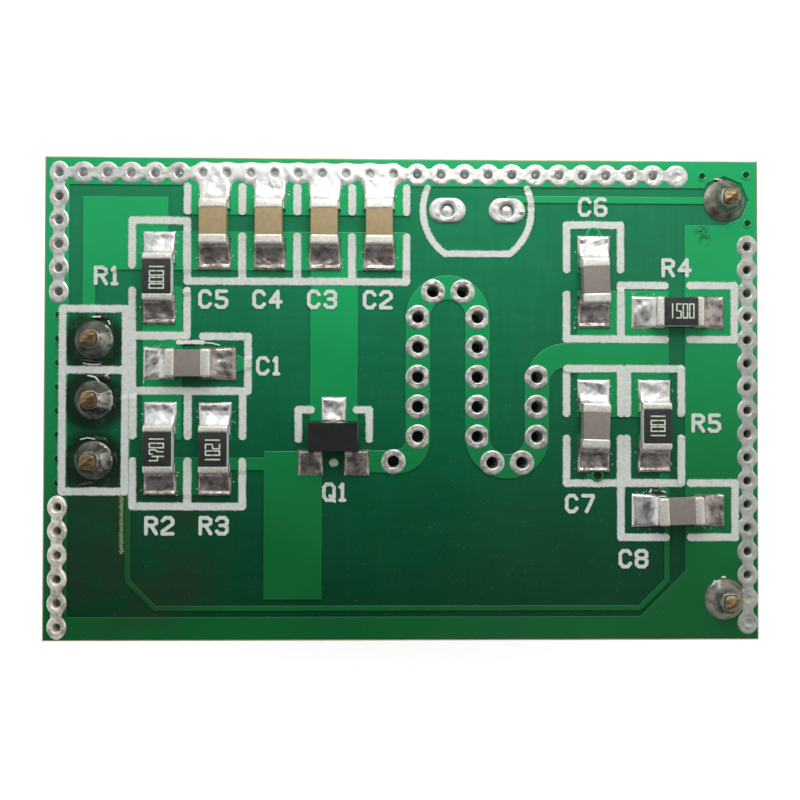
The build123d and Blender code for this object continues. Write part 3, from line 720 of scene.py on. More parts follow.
def chain_reach(along_x, across, ways):
    """Outline of one land of a row: an oval, with a square neck towards each neighbour."""
    stretch = (OVAL_HALF, across) if along_x else (across, OVAL_HALF)

    def reach(turns):
        out = 1 / np.hypot(np.cos(turns) / stretch[0], np.sin(turns) / stretch[1])
        for dx, dy in ways:
            along = np.cos(turns) * dx + np.sin(turns) * dy
            neck = along * math.hypot(NECK_REACH, NECK_HALF) > NECK_REACH
            out = np.where(neck, NECK_REACH / np.maximum(along, 1e-3), out)
        return out
    return reach


def chain_crest(ways, height):
    """Crown of a land that runs on as a low bar to its neighbours."""
    def crest(turns, share):
        along = np.max([np.cos(turns) * dx + np.sin(turns) * dy for dx, dy in ways], axis=0)
        bar = smooth((along - 0.84) / 0.07) * height * 0.85
        return np.maximum(height * (1 - share ** 8) - 0.012 * share ** 8, bar)
    return crest


def ways_on(via, vias):
    """Steps along X or Y to the vias beside one."""
    steps = [(other[0] - via[0], other[1] - via[1]) for other in vias]
    return [(round(dx), round(dy)) for dx, dy in steps if 0.5 < math.hypot(dx, dy) < 1.3]


def closed_vias():
    """Vias of the fence that solder has filled: no hole is left in the board there."""
    top_row = sorted(h for h in FENCE_HOLES if h[1] > ROW_START)
    column = sorted((h for h in FENCE_HOLES if h[0] > SIDE_START), key=lambda h: h[1])
    pitch = min(b[0] - a[0] for a, b in zip(top_row, top_row[1:]))
    left, row, size = top_row[0]
    row_end = node_box("fence_tin_top")[1][0]
    low_end = node_box("fence_tin_right")[0][1]
    vias = [(x, row, size) for x in np.arange(left, row_end, pitch)
            if all(abs(x - h[0]) > pitch / 2 for h in top_row)]
    below = [column[0][1] - pitch * i for i in (1, 2)]
    return vias + [(column[0][0], y, size) for y in below if y > low_end]


def make_fence():
    """Lands of the ground fence along the top, the left and the right edge."""
    sides = {"top": [], "left": [], "right": []}
    closed = [via for via in closed_vias() if via not in flooded_vias()]
    for number, (x, y, hole) in enumerate(FENCE_HOLES + closed):
        in_row = y > ROW_START and x > -SIDE_START
        side = "right" if x > SIDE_START else "left" if x < -SIDE_START and y < 0 else "top"
        crest = FLOOD_CREST if side == "left" else TIN_CREST
        across = ROW_LAND if in_row else RIGHT_LAND if side == "right" else LEFT_LAND
        fill = MOSTLY if in_row else PARTLY if side == "top" else OPEN
        if (x, y, hole) in closed:
            fill = SHUT
        ways = ways_on((x, y), FENCE_HOLES + closed_vias())
        sides[side].append(land(x, y, hole, chain_reach(in_row, across, ways), chain_crest(ways, crest),
                                COPPER_TOP - 0.01, fill, 60 + number))
    for side, material in (("top", BRIGHT_TIN), ("left", WARM_TIN), ("right", DULL_TIN)):
        slot = "dull_tin" if side == "right" else "tinned_copper"
        piece(f"fence_lands_{side}", joined(sides[side]), [material], slot, [f"fence_tin_{side}"])


def flooded_vias():
    """The closed vias beside the four chips, where solder ran together."""
    return sorted(via for via in closed_vias() if via[1] > ROW_START and via[0] < 0)


def make_flood():
    """Solder that ran together over the lands of the fence and of the four chips beside it."""
    vias = flooded_vias()
    left, row, right = vias[0][0], vias[0][1], vias[-1][0]
    x = np.arange(left - 0.6, right + 0.6, FLOOD_STEP)[:, None]
    y = np.arange(row - 1.4, row + 0.55, FLOOD_STEP)[None, :]
    insides = [FLOODED_LAND - np.hypot(x - via[0], y - row) for via in vias]
    span = (right - left) / 2 - np.abs(x - (left + right) / 2)
    insides.append(np.minimum(span + 0.1, 0.32 - np.abs(y - row - 0.12)))
    insides.append(np.minimum(span + NECK_REACH, NECK_HALF - np.abs(y - row)))
    for name in TAN_CHIPS:
        chip_x, chip_y = chip_place(name)[:2]
        low = chip_y + CHIP_SIZES["c"][0] + 0.42
        tongue = (row - low) / 2 - np.abs(y - (row + low) / 2)
        insides.append(np.minimum(PAD_HALF - np.abs(x - chip_x), tongue))
    inside = 0.05 * np.log(sum(np.exp(np.clip(part / 0.05, -40, 40)) for part in insides))
    lumps = 0.012 * waves(x, y, 0.5, 3) * smooth(inside / 0.15)
    level = np.where(inside > 0, swell(inside, 0.1, 0.07) + lumps, np.maximum(inside * 1.5, -0.065))
    for via in vias:
        level = level - FLOOD_DIMPLE * np.exp(-(np.hypot(x - via[0], y - row) / DIMPLE_RADIUS) ** 8)
    bm = sheet_mesh(x, y, COPPER_TOP - 0.01 + level)
    buried = [vert for vert in bm.verts if vert.co.z < COPPER_TOP - 0.07]
    bmesh.ops.delete(bm, geom=buried, context="VERTS")
    # Tin in the dimples over the vias is darker: painted shade in the hollows
    for face in bm.faces:
        face.material_index = int(min(away_from(face, via[0], row) for via in vias) < 0.17)
    piece("flooded_lands", bm, [FLOODED, SHADED_DIMPLE_TIN], "solder", ["fence_tin_top"])


def stadium(half, radius):
    """Outline of a long land with round ends, as a function of the angle."""
    def reach(turns):
        c, s = np.abs(np.cos(turns)), np.abs(np.sin(turns))
        straight = radius / np.maximum(s, 1e-3)
        shift = half - radius
        root = np.maximum(radius ** 2 - (shift * s) ** 2, 0)
        return np.where(straight * c <= shift, straight, shift * c + np.sqrt(root))
    return reach


def make_sensor_lands():
    """Long lands of the light sensor that isn't fitted, their holes nearly filled."""
    low, high = node_box("light_sensor_lands")
    radius = (high[1] - low[1]) / 2
    parts = []
    for number, (x, y, hole) in enumerate(SENSOR_HOLES):
        reach = stadium(min(x - low[0], high[0] - x), radius)
        parts.append(land(x, y, hole, reach, crown(TIN_CREST), COPPER_TOP, NEARLY, 7 + number))
    piece("sensor_lands", joined(parts), [BRIGHT_TIN], "solder", ["light_sensor_lands"])


# Chips and the solder on their lands


def mound(chip, climb, seed, lip=0.0):
    """Solder on one land, drawn along X: a hollow fillet up the chip's end, ending in a thin rim."""
    chip_half, chip_side = chip
    u = np.linspace(0.6, PAD_REACH, 46)[:, None]
    v = np.linspace(-PAD_HALF, PAD_HALF, 42)[None, :]
    away = np.hypot(np.maximum(u - chip_half, 0), np.maximum(np.abs(v) - chip_side, 0) * 1.5)
    rim = np.minimum(PAD_REACH - u, PAD_HALF - np.abs(v))
    fillet = climb * np.exp(-away / 0.22) * smooth(rim / 0.1)
    edge = lip * np.exp(-((PAD_REACH - u - 0.09) / 0.075) ** 2) * smooth(rim / 0.04)
    level = swell(rim, 0.09) + fillet + edge + solder_lumps(u, v, rim, seed, seed + 400)
    under = (u < chip_half - 0.02) & (np.abs(v) < chip_side - 0.02)
    level = np.where(under, np.minimum(level, 0.08), level)
    return sheet_mesh(u, v, np.maximum(level, 0.0) - 0.01)


def chip_place(name):
    """Middle of a chip, the way it lies and its height, read from the model."""
    low, high = node_box(f"{name}_{CHIP_BODIES[name[0]]}")
    middle = (low + high) / 2
    low, high = node_box(f"{name}_ends")
    turn = 90.0 if high[1] - low[1] > high[0] - low[0] else 0.0
    return middle[0], middle[1], turn, high[2] - low[2]


def make_chip(name):
    """Body, two rounded metal ends and, on a resistor, its glaze."""
    x, y, turn, height = chip_place(name)
    turn += CHIP_SKEW.get(name, 0.0)
    half, side_half = CHIP_SIZES[name[0]]
    cap = CAPS[name[0]]
    slot, material = "ceramic_grey", GREY
    if name in RESISTOR_CODES:
        slot, material = "alumina", ALUMINA
    elif name in TAN_CHIPS:
        slot, material = "ceramic_tan", TAN
    size = (2 * half - 1.2 * cap, 2 * side_half - 0.05, height - 0.05)
    body = placed(rounded_block(size, 0.03), x, y, COPPER_TOP + 0.025, turn)
    piece(f"{name}_body", body, [material], slot, [f"{name}_{CHIP_BODIES[name[0]]}"])
    ends = []
    for side in (-1, 1):
        block = rounded_block((cap, 2 * side_half, height), 0.11, 5)
        for vert in block.verts:
            lump = 0.014 * float(waves(vert.co.x + 3 * side, vert.co.y, 0.5, len(ends) + 5))
            vert.co.z += lump * (vert.co.z > height / 2)
        placed(block, side * (half - cap / 2), 0, 0)
        ends.append(placed(block, x, y, COPPER_TOP, turn))
    piece(f"{name}_caps", joined(ends), [PLATED], "plated_metal", [f"{name}_ends"])
    if name in RESISTOR_CODES:
        size = (2 * half - 2 * cap + 0.06, 2 * side_half - 0.06, 0.05)
        glaze = placed(rounded_block(size, 0.02), x, y, COPPER_TOP + height - 0.02, turn)
        piece(f"{name}_glaze", glaze, [GLAZE], "resistor_glaze", ["resistor_glazes"])


def make_chips():
    """All chips and the solder on their lands; the near and the right-hand joints take a darker solder,
    partly flux stain and partly painted shade.
    """
    for label, names, climb, seed in (("resistor", RESISTORS, 0.25, 51), ("capacitor", CAPACITORS, 0.3, 91)):
        mounds = {SOLDER: [], STAINED_SHADED_SOLDER: []}
        for name in names:
            make_chip(name)
            x, y, turn, _ = chip_place(name)
            for side in (0, 180):
                outward = math.radians(turn + side)
                # Joints facing the near or the right side take the darker solder: partly flux stain, partly
                # painted shade
                stained = math.cos(outward) > 0.5 or math.sin(outward) < -0.5
                shape = mound(CHIP_SIZES[name[0]], climb, seed, 0.075 * stained)
                placed(shape, x, y, COPPER_TOP, turn + side)
                mounds[STAINED_SHADED_SOLDER if stained else SOLDER].append(shape)
                seed += 1
        for material, shapes in mounds.items():
            piece(f"{label}_{material.name}", joined(shapes), [material], "solder", [f"{label}_solder"])


def island_boxes(name):
    """Lowest and highest corner of each separate solid of a CAD node."""
    bm = node_mesh(name)
    boxes, seen = [], set()
    for start in bm.verts:
        if start in seen:
            continue
        group = rim = {start}
        while rim:
            rim = {edge.other_vert(vert) for vert in rim for edge in vert.link_edges} - group
            group = group | rim
        seen |= group
        points = np.array([vert.co for vert in group])
        boxes.append((points.min(0), points.max(0)))
    bm.free()
    return boxes


def make_transistor_solder():
    """Solder over the three lands, climbing to where the leads come out of the case."""
    case_low, case_high = node_box("transistor_case")
    middle = (case_low[1] + case_high[1]) / 2
    for number, (low, high) in enumerate(island_boxes("transistor_solder")):
        low, high = low - (LAND_SPREAD, 0, 0), high + (LAND_SPREAD, 0, 0)
        u = np.linspace(low[0], high[0], 40)[:, None]
        v = np.linspace(low[1], high[1], 40)[None, :]
        rim = np.minimum(np.minimum(u - low[0], high[0] - u), np.minimum(v - low[1], high[1] - v))
        near = high[1] - v if high[1] < middle else v - low[1]
        across = np.maximum(np.abs(u - (low[0] + high[0]) / 2) - 0.15, 0)
        climb = 0.24 * np.exp(-np.hypot(near, across * 1.4) / 0.3) * smooth(rim / 0.1)
        level = swell(rim, 0.1) + climb + solder_lumps(u, v, rim, 7 + number, 17 + number)
        joint = sheet_mesh(u, v, COPPER_TOP + np.maximum(level, 0) - 0.01)
        # The near joints take the darker solder: partly flux stain, partly painted shade
        material = SOLDER if high[1] > middle else STAINED_SHADED_SOLDER
        piece(f"transistor_joint_{number + 1}", joint, [material], "solder", ["transistor_solder"])


# Pins and their solder


def pin_cone(x, y, reach, height, wing, wing_turn, seed):
    """Solder that climbs a square wire, with a fuller wing on one side."""
    turns = full_turn(56)
    base = COPPER_TOP - 0.01
    inner = squarish(turns, WIRE_HALF, 4)
    aside = np.angle(np.exp(1j * (turns - math.radians(wing_turn))))
    lobe = wing * np.exp(-(aside / 0.75) ** 2)
    rows = [(inner - 0.04, base + height - 0.25)]
    for share in np.arange(15) / 14:
        radius = inner + (reach - inner) * share
        fillet = height * np.exp(-(radius - inner) / 0.2) * (1 - share ** 3)
        full = lobe * np.sin(math.pi * min(share * 1.25, 1)) ** 0.7
        lumps = waves(radius * np.cos(turns), radius * np.sin(turns), 0.6, seed) * math.sin(math.pi * share)
        rows.append((radius, base + fillet + full + 0.03 * (1 - share ** 6 + lumps)))
    return ring_mesh(x, y, rows, turns)


def make_pin_solder():
    """Joints of the pins, dark with flux but for a lighter part between two angles; on the corner posts that
    part is a painted highlight.
    """
    header = sorted((h for h in PIN_HOLES if h[0] < 0), key=lambda h: -h[1])
    corners = sorted((h for h in PIN_HOLES if h[0] > 0), key=lambda h: h[1])
    for label, holes, cone, metal, lighter in (
            ("header", header, (0.82, 0.6, 0.26, 0), DARK_JOINT,
             [(-42, 38, 0.46, 0.76), (-30, 30, 0.42, 0.82), (-32, 34, 0.5, 0.72)]),
            ("corner", corners, (0.88, 0.72, 0.15, 30), FLUXED,
             [(-160, 10, 0.6, 0.95), (-5, 48, 0.41, 0.78)])):
        shapes = []
        for number, ((x, y, _), (low, high, start, end)) in enumerate(zip(holes, lighter)):
            shape = pin_cone(x, y, *cone, 30 + number)
            for face in shape.faces:
                middle = face.calc_center_median()
                away = away_from(face, x, y)
                uneven = float(waves(middle.x, middle.y, 0.4, 70 + number))
                way = math.degrees(math.atan2(middle.y - y, middle.x - x)) + 16 * uneven
                part = start < away + 0.05 * uneven < end and low < way < high
                # On the corner posts the lighter part is a painted highlight
                face.material_index = int(away < 0.41 or part)
            shapes.append(shape)
        piece(f"{label}_pin_joints", joined(shapes), [metal, WING_AND_HIGHLIGHT], "solder", ["pin_solder"])


def make_wires():
    """Square wires: tapered below, rounder towards the ridge where they were nipped off."""
    turns = full_turn(48)
    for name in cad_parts:
        if not name.startswith(("header_pin", "corner_pin")) or "body" in name:
            continue
        low, high = node_box(name)
        x, y = (low[:2] + high[:2]) / 2
        half = (high[0] - low[0]) / 2
        rows = [(squarish(turns, half * share, power), level) for level, share, power in (
            (low[2], 0.02, 8), (low[2], 0.5, 8), (low[2] + PIN_TAPER, 1.0, 8),
            (BOARD_TOP + 0.2, 1.0, 8), (BOARD_TOP + 0.5, 1.0, 4))]
        for number, share in enumerate((0.99, 0.95, 0.85, 0.6, 0.4, 0.2, 0.02), len(rows)):
            radius = squarish(turns, half * share, 3)
            away = np.abs(radius * np.sin(NIP_TURN - turns))
            rough = 0.012 * waves(radius * np.cos(turns), radius * np.sin(turns), 0.25, number)
            top = high[2] - 0.015 - PIN_DROP * away - 0.06 * share ** 6 + rough * (share < 0.9)
            rows.append((radius, np.minimum(top, high[2])))
        piece(f"{name}_wire", ring_mesh(x, y, rows, turns), [WIRE], "pin_metal", [name])


# Lettering

# Strokes of the letters: x,y in hundredths of a letter's height; a slash starts another stroke
GLYPHS = {
    "R": "0,0 0,100 42,100 60,86 60,66 42,52 0,52 / 30,52 60,0",
    "C": "60,80 44,100 16,100 0,80 0,20 16,0 44,0 60,20",
    "Q": "16,100 44,100 60,80 60,20 44,0 16,0 0,20 0,80 16,100 / 36,26 62,-6",
    "1": "0,82 13,100 13,0 / 0,0 26,0",
    "2": "0,82 16,100 46,100 60,84 60,62 0,14 0,0 60,0",
    "3": "0,84 14,100 46,100 60,86 60,64 44,52 20,52 / 44,52 60,38 60,14 46,0 14,0 0,16",
    "4": "44,0 44,100 0,34 62,34",
    "5": "58,100 4,100 4,56 42,56 60,42 60,16 44,0 12,0 0,12",
    "6": "54,94 42,100 16,100 0,82 0,16 14,0 46,0 60,16 60,40 46,54 0,54",
    "7": "0,100 60,100 60,86 22,0",
    "8": "14,100 46,100 60,86 60,66 46,52 14,52 0,66 0,86 14,100 /"
         " 14,52 0,38 0,14 14,0 46,0 60,14 60,38 46,52",
}
# Square digits of the codes on the resistors, open at half height as if drawn by segments
CODE_GLYPHS = {
    "0": "0,56 0,100 60,100 60,56 / 0,44 0,0 60,0 60,44",
    "1": "30,0 30,100",
    "2": "0,100 60,100 60,52 0,48 0,0 60,0",
    "4": "0,100 0,42 60,42 / 60,80 60,0",
    "5": "60,100 0,100 0,52 60,48 60,0 0,0",
    "7": "0,80 0,100 60,100 60,60 35,40 35,0",
}


def ribbon(points, width, level, thickness, ragged, seed, lift=0.0, depth=0.05):
    """Printed line with round ends and uneven sides along a row of points."""
    chooser = np.random.default_rng(seed)
    points = np.asarray(points, float)
    far = np.concatenate([[0], np.cumsum(np.hypot(*np.diff(points, axis=0).T))])
    length, half = far[-1], width / 2
    caps = np.array([0.2, 0.5, 0.8, 1.1, 1.4])
    body = np.linspace(0, length, max(2, int(length / PRINT_STEP) + 1))
    stations = np.concatenate([-half * np.cos(caps), body, length + half * np.cos(caps[::-1])])
    halves = np.concatenate([half * np.sin(caps), np.full(len(body), half), half * np.sin(caps[::-1])])

    def at(distance):
        """Places at distances along the line."""
        return np.array([np.interp(distance, far, axis) for axis in points.T])

    inside = np.clip(stations, 0, length)
    step = min(0.02, length / 4)
    ahead = at(inside + step) - at(inside - step)
    ahead /= np.hypot(*ahead)
    x, y = at(inside) + ahead * (stations - inside)
    sides = []
    for side in (1, -1):
        wave = np.sin(stations * 2 * math.pi / PRINT_WAVE + chooser.uniform(0, 6)) * 0.8
        uneven = ragged * (wave + chooser.uniform(-1, 1, len(stations)) * 0.5)
        out = (halves + uneven * (halves > half * 0.6)) * side
        sides.append((x - ahead[1] * out, y + ahead[0] * out))
    floor = [max(level(px[i], py[i]) for px, py in sides) for i in range(len(stations))]
    padded = np.pad(floor, 4, mode="edge")
    highest = np.array([padded[i:i + 5].max() for i in range(len(floor) + 4)])
    floor = np.array([highest[i:i + 5].mean() for i in range(len(floor))])
    bm = bmesh.new()
    tops, lows = ([[bm.verts.new(place) for place in zip(px, py, floor + up)] for px, py in sides]
                  for up in (thickness + lift, -depth))
    for i in range(len(stations) - 1):
        bm.faces.new((tops[0][i], tops[1][i], tops[1][i + 1], tops[0][i + 1]))
        for top, low in zip(tops, lows):
            bm.faces.new((top[i], top[i + 1], low[i + 1], low[i]))
    for end in (0, -1):
        bm.faces.new((tops[0][end], lows[0][end], lows[1][end], tops[1][end]))
    return bm


def text_strokes(text, cell, glyphs, x, y):
    """Straight strokes of a text whose first cell has its lower left corner at a place."""
    height, width, pitch = cell
    strokes = []
    for place, letter in enumerate(text):
        for line in glyphs[letter].split(" / "):
            points = [[float(value) / 100 for value in point.split(",")] for point in line.split()]
            points = [(x + place * pitch + px * width / 0.6, y + py * height) for px, py in points]
            strokes += zip(points, points[1:])
    return strokes


# Names of places, each with the lower left corner of its first letter's cell
DESIGNATORS = {
    "R1": (-13.0, 4.83), "R2": (-10.84, -5.72), "R3": (-8.56, -5.72), "R4": (11.09, 5.28),
    "R5": (12.35, -1.35), "C1": (-6.17, 1.04), "C2": (-1.66, 3.86), "C3": (-4.02, 3.86),
    "C4": (-6.34, 3.86), "C5": (-8.62, 3.86), "C6": (7.5, 7.86), "C7": (6.95, -4.78),
    "C8": (9.24, -7.12), "Q1": (-3.36, -4.3),
}


def make_place_names():
    """Printed names of places on the board."""
    parts = []
    for text, (x, y) in DESIGNATORS.items():
        for stroke in text_strokes(text, NAME_CELL, GLYPHS, x, y):
            lift = 0.0006 * (len(parts) % 23)
            parts.append(ribbon(stroke, NAME_LINE, surface_level, 0.02, 0.014, len(parts), lift))
    piece("place_names", joined(parts), [LEGEND], "legend_ink", smooth_shading=False)


def make_codes():
    """Number codes on the resistors; two of them read downwards."""
    def level(x, y):
        """The glaze is flat."""
        return 0.0

    for name, code in RESISTOR_CODES.items():
        x, y, turn, height = chip_place(name)
        parts = []
        for stroke in text_strokes(code, CODE_CELL, CODE_GLYPHS, -0.48, -0.28):
            lift = 0.0002 * len(parts)
            parts.append(ribbon(stroke, CODE_LINE, level, 0.006, 0.004, len(parts), lift, 0.004))
        turn += 180 if name in READ_DOWN else 0
        mesh = placed(joined(parts), x, y, COPPER_TOP + height + 0.03, turn)
        piece(f"{name}_code", mesh, [CODE_INK], "legend_ink", smooth_shading=False)


# Drops of hardened flux: place, length, width and turn in degrees
FLUX_DROPS = [
    (-9.2, 2.34, 1.5, 0.3, 0), (-12.9, 3.4, 1.0, 0.3, -5), (-13.2, 1.52, 1.1, 0.24, -8),
    (-12.4, 2.4, 0.3, 0.8, 0), (-12.7, 0.86, 0.7, 0.4, -30), (-12.3, -0.3, 0.3, 0.6, 15),
    (-12.75, -1.78, 0.8, 0.3, -20), (-12.2, -2.6, 0.3, 0.6, 0), (-13.4, -3.68, 0.9, 0.24, 10),
    (10.9, -3.95, 0.7, 0.24, 5), (13.55, 9.38, 0.6, 0.2, 0),
    (12.68, 7.2, 0.16, 0.1, 30), (12.92, 7.16, 0.1, 0.08, 0),
]
# Splashes of solder: place and radius
SPLASHES = [(-7.3, 1.5, 0.11), (-7.36, 1.3, 0.08), (-7.36, 1.72, 0.09), (5.0, 7.95, 0.12)]
# Painted highlights: white lines for the glints on flux, with their widths
PAINTED_GLINT_LINES = [
    ([(-9.52, 2.35), (-9.1, 2.37), (-8.5, 2.36)], 0.17), ([(-13.1, 3.42), (-12.8, 3.43)], 0.06),
    ([(-12.45, 3.25), (-12.38, 3.1)], 0.05), ([(-13.5, 1.46), (-13.1, 1.4), (-12.8, 1.42)], 0.04),
    ([(-13.3, 0.95), (-13.0, 0.88), (-12.85, 0.7)], 0.06), ([(-12.55, 0.93), (-12.45, 1.02)], 0.06),
    ([(-13.6, -1.75), (-13.3, -1.68), (-13.0, -1.74)], 0.04), ([(-12.5, -2.3), (-12.42, -2.5)], 0.03),
    ([(-13.2, -3.78), (-12.9, -3.78)], 0.04), ([(-8.4, 2.34), (-8.1, 2.33), (-7.8, 2.24)], 0.05),
    ([(13.3, 9.42), (13.6, 9.4)], 0.05), ([(11.0, -3.9), (11.15, -3.95)], 0.05),
    ([(10.5, -3.95), (10.56, -3.85)], 0.05), ([(13.12, -7.98), (13.27, -7.72)], 0.07),
    ([(13.58, -7.56), (13.7, -7.56)], 0.07),
]
SCUFF_LINE = [(-11.87, -4.1), (-11.87, -6.5)]


def make_flux():
    """Glossy drops of flux beside the pins and the chips, and white lines of painted highlight."""
    parts = []
    turns = full_turn(28)
    for x, y, length, width, turn in FLUX_DROPS:
        uneven = 1 + 0.1 * waves(np.cos(turns), np.sin(turns), 1.6, len(parts))
        height = min(length, width) * 0.16
        rows = [(out * uneven, height * (1 - out ** 2) - 0.002) for out in np.linspace(1, 0.02, 8)]
        drop = ring_mesh(0, 0, rows, turns)
        bmesh.ops.scale(drop, vec=(length / 2, width / 2, 1), verts=drop.verts)
        parts.append(placed(drop, x, y, surface_level(x, y), turn))
    piece("flux_drops", joined(parts), [FLUX], "solder")
    lines = [ribbon(line, width, surface_level, 0.05, width * 0.2, number)
             for number, (line, width) in enumerate(PAINTED_GLINT_LINES)]
    piece("painted_flux_glints", joined(lines), [PAINTED_GLINT], "solder", smooth_shading=False)


def make_specks():
    """Beads of solder along the chips' lands and a few splashes."""
    chooser = np.random.default_rng(5)
    parts = []
    for name in CAPACITORS + RESISTORS:
        x, y, turn, _ = chip_place(name)
        for _ in range(SPECKS_PER_CHIP):
            u = chooser.choice((-1, 1)) * chooser.uniform(1.0, PAD_REACH)
            v = chooser.choice((-1, 1)) * (PAD_HALF + chooser.uniform(-0.03, 0.12))
            if turn:
                u, v = -v, u
            drop = blob(chooser.uniform(0.01, 0.032), len(parts))
            parts.append(placed(drop, x + u, y + v, surface_level(x + u, y + v) + 0.01))
    for x, y, radius in SPLASHES:
        parts.append(placed(blob(radius, len(parts), 0.5), x, y, COPPER_TOP + 0.05))
    piece("solder_beads", joined(parts), [SOLDER], "solder")


def make_scuff():
    """Place where the coat is scuffed beside a track."""
    line = ribbon(SCUFF_LINE, 0.15, surface_level, 0.004, 0.06, 77, 0.0, 0.01)
    piece("scuffed_coat", line, [SCUFF], "solder_mask", smooth_shading=False)


def chip_boxes():
    """Box round each chip, open in the middle of its long sides."""
    lines = []
    for name in RESISTORS + CAPACITORS:
        x, y, turn, _ = chip_place(name)
        gap = BOX_GAP + LINE / 2
        for side in (1, -1):
            corners = [(gap, BOX_HALF), (BOX_REACH, BOX_HALF), (BOX_REACH, -BOX_HALF), (gap, -BOX_HALF)]
            corners = [(side * u, side * v) for u, v in corners]
            if turn:
                corners = [(-v, u) for u, v in corners]
            corners = [(x + u, y + v) for u, v in corners]
            lines += zip(corners, corners[1:])
    return lines


def header_box():
    """Box round the header, with a line that sets the first pin apart."""
    x, y = np.mean([h[:2] for h in PIN_HOLES if h[0] < 0], axis=0)
    half = PIN_PITCH + HEADER_MARGIN
    left, right, low, high = x - HEADER_MARGIN, x + HEADER_MARGIN, y - half, y + half
    first = y + PIN_PITCH / 2
    corners = [(left, low), (right, low), (right, high), (left, high), (left, low)]
    return [*zip(corners, corners[1:]), ((left, first), (right, first))]


def transistor_marks():
    """Two brackets and a dot."""
    middles = [(low + high) / 2 for low, high in island_boxes("transistor_solder")]
    dot = min(middle[1] for middle in middles)
    x, level, _ = max(middles, key=lambda middle: middle[1])
    lines = []
    for side in (-1, 1):
        outer = x + side * BRACKET_SPAN / 2
        lines.append([(outer, level), (outer, level - BRACKET_LENGTH)])
        lines.append([(outer, level), (outer - side * BRACKET_ARM + side * LINE / 2, level)])
    return lines + [[(x - 0.04, dot), (x + 0.04, dot)]]


def sensor_outline():
    """Circle with a flat, open where it would run over the fence."""
    x, y = np.mean([h[:2] for h in SENSOR_HOLES], axis=0)
    open_turn = math.degrees(math.asin((PRINT_TOP + 0.2 - y) / SENSOR_ROUND))
    flat_turn = math.degrees(math.asin(SENSOR_FLAT / SENSOR_ROUND))
    left = np.radians(np.linspace(180 - open_turn, 180 + flat_turn, 28))
    right = np.radians(np.linspace(-flat_turn, open_turn, 28))
    lines = [[(x + SENSOR_ROUND * math.cos(a), y + SENSOR_ROUND * math.sin(a)) for a in turns]
             for turns in (left, right)]
    return lines + [[lines[0][-1], lines[1][0]]]


def make_legend():
    """All printed outlines as uneven lines, without what would lie on the fence."""
    parts = []
    straight = [(line, LINE) for line in chip_boxes() + header_box() + transistor_marks()]
    for line, width in straight + [(line, SENSOR_LINE) for line in sensor_outline()]:
        if min(y for _, y in line) > PRINT_TOP:
            continue
        line = [(x, min(y, PRINT_TOP + 0.2)) for x, y in line]
        parts.append(ribbon(line, width, surface_level, 0.02, 0.042, len(parts), 0.0002 * len(parts)))
    piece("printed_outlines", joined(parts), [LEGEND], "legend_ink", ["legend_outlines"], False)


# Finishes of the CAD nodes that stay

FINISHES = {
    "corner_pin_body": PLASTIC, "header_body": PLASTIC, "transistor_case": CASE, "transistor_leads": PLATED,
}


def finish_nodes():
    """Give the solids that stay their finish."""
    for name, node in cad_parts.items():
        for start, material in FINISHES.items():
            if name.startswith(start):
                node.data.materials.clear()
                node.data.materials.append(material)
                break


# Studio


def make_floor():
    """White floor that shows plain white to the camera and keeps a soft shadow."""
    n = new_material("floor_white")
    white = n.finish((0.9, 0.9, 0.9), 0.9)
    rays = n.add("ShaderNodeLightPath").outputs
    seen = n.math("MAXIMUM", rays["Is Camera Ray"], rays["Is Glossy Ray"])
    seen = n.math("MAXIMUM", seen, rays["Is Transmission Ray"])
    glow = n.add("ShaderNodeEmission", {"Strength": n.math("MULTIPLY", seen, FLOOR_GLOW)})
    shader = n.tree.nodes["Principled BSDF"]
    both = n.add("ShaderNodeAddShader", {0: shader.outputs["BSDF"], 1: glow.outputs["Emission"]})
    n.put(n.tree.nodes["Material Output"].inputs["Surface"], both.outputs["Shader"])
    bm = bmesh.new()
    bmesh.ops.create_grid(bm, x_segments=8, y_segments=8, size=1.5)
    data = as_data(bm, "floor")
    data.materials.append(white)
    floor = linked("floor", data)


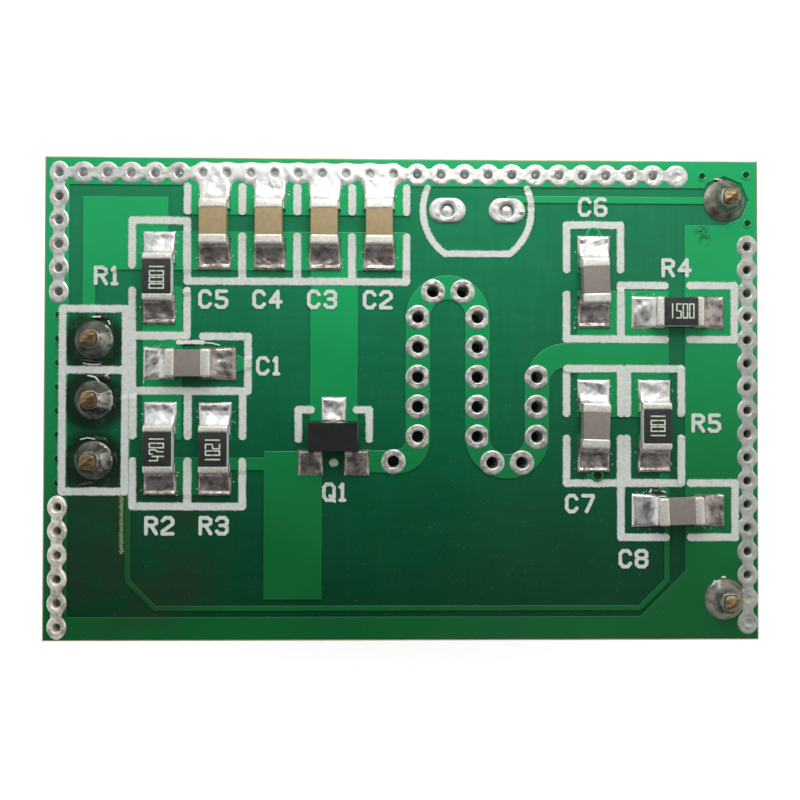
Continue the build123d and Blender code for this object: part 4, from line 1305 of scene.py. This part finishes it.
def make_world():
    """Soft studio light: darkest straight above, bright all round and most from the far side."""
    world = bpy.data.worlds.new("studio")
    bpy.context.scene.world = world
    n = Nodes(world, "Generated")
    levels = []
    for lean, low, high, dark, bright in (((0, 0.9, -1), -1.05, -0.45, 0.1, 0.9),
                                          ((0, 0, -1), -0.6, -0.1, 0.0, 0.5)):
        toward = n.add("ShaderNodeVectorMath", {0: n.place, 1: lean}, operation="DOT_PRODUCT")
        levels.append(n.span(toward.outputs["Value"], low, high, dark, bright))
    background = n.tree.nodes["Background"]
    n.put(background.inputs["Strength"], n.math("MAXIMUM", *levels))
    n.put(background.inputs["Color"], (1, 1, 1))


def make_lamp(name, place, size, power):
    """Square lamp that faces the board; place and size are in millimetres."""
    lamp = bpy.data.lights.new(name, "AREA")
    lamp.size = size * MM
    lamp.energy = power
    holder = linked(name, lamp)
    holder.location = Vector(place) * MM
    aim = Vector(LAMP_TARGET) * MM - holder.location
    holder.rotation_euler = aim.to_track_quat("-Z", "Y").to_euler()
    holder.visible_camera = False


def make_camera():
    """Camera over the board, from the fitted tilt and offset."""
    data = bpy.data.cameras.new("camera")
    data.sensor_width = SENSOR_WIDTH
    data.lens = PIXELS_PER_MM * CAMERA_HEIGHT / IMAGE_SIDE * SENSOR_WIDTH
    data.clip_start = 0.001
    data.clip_end = 10
    camera = linked("camera", data)
    tilt_x, tilt_y, roll = CAMERA_TILT
    turn = Matrix.Rotation(roll, 3, "Z") @ Matrix.Rotation(tilt_y, 3, "Y") @ Matrix.Rotation(tilt_x, 3, "X")
    back = turn.transposed()
    place = back @ Vector((-CAMERA_OFFSET[0], -CAMERA_OFFSET[1], CAMERA_HEIGHT))
    place.z += BOARD_TOP
    camera.matrix_world = Matrix.Translation(place * MM) @ back.to_4x4()
    bpy.context.scene.camera = camera


make_camera()
make_world()
make_floor()
make_lamp("key", (4, 32, 34), 30, 0.0105)
make_lamp("fill", (70, -30, 120), 120, 0.008)
for make in (finish_nodes, make_board, make_copper, make_via_films, make_tented_vias, make_strip_rings,
             make_fence, make_flood, make_sensor_lands, make_chips, make_transistor_solder,
             make_pin_solder, make_wires, make_flux, make_specks, make_scuff, make_legend,
             make_place_names, make_codes):
    make()

bpy.context.scene.view_settings.view_transform = "Standard"
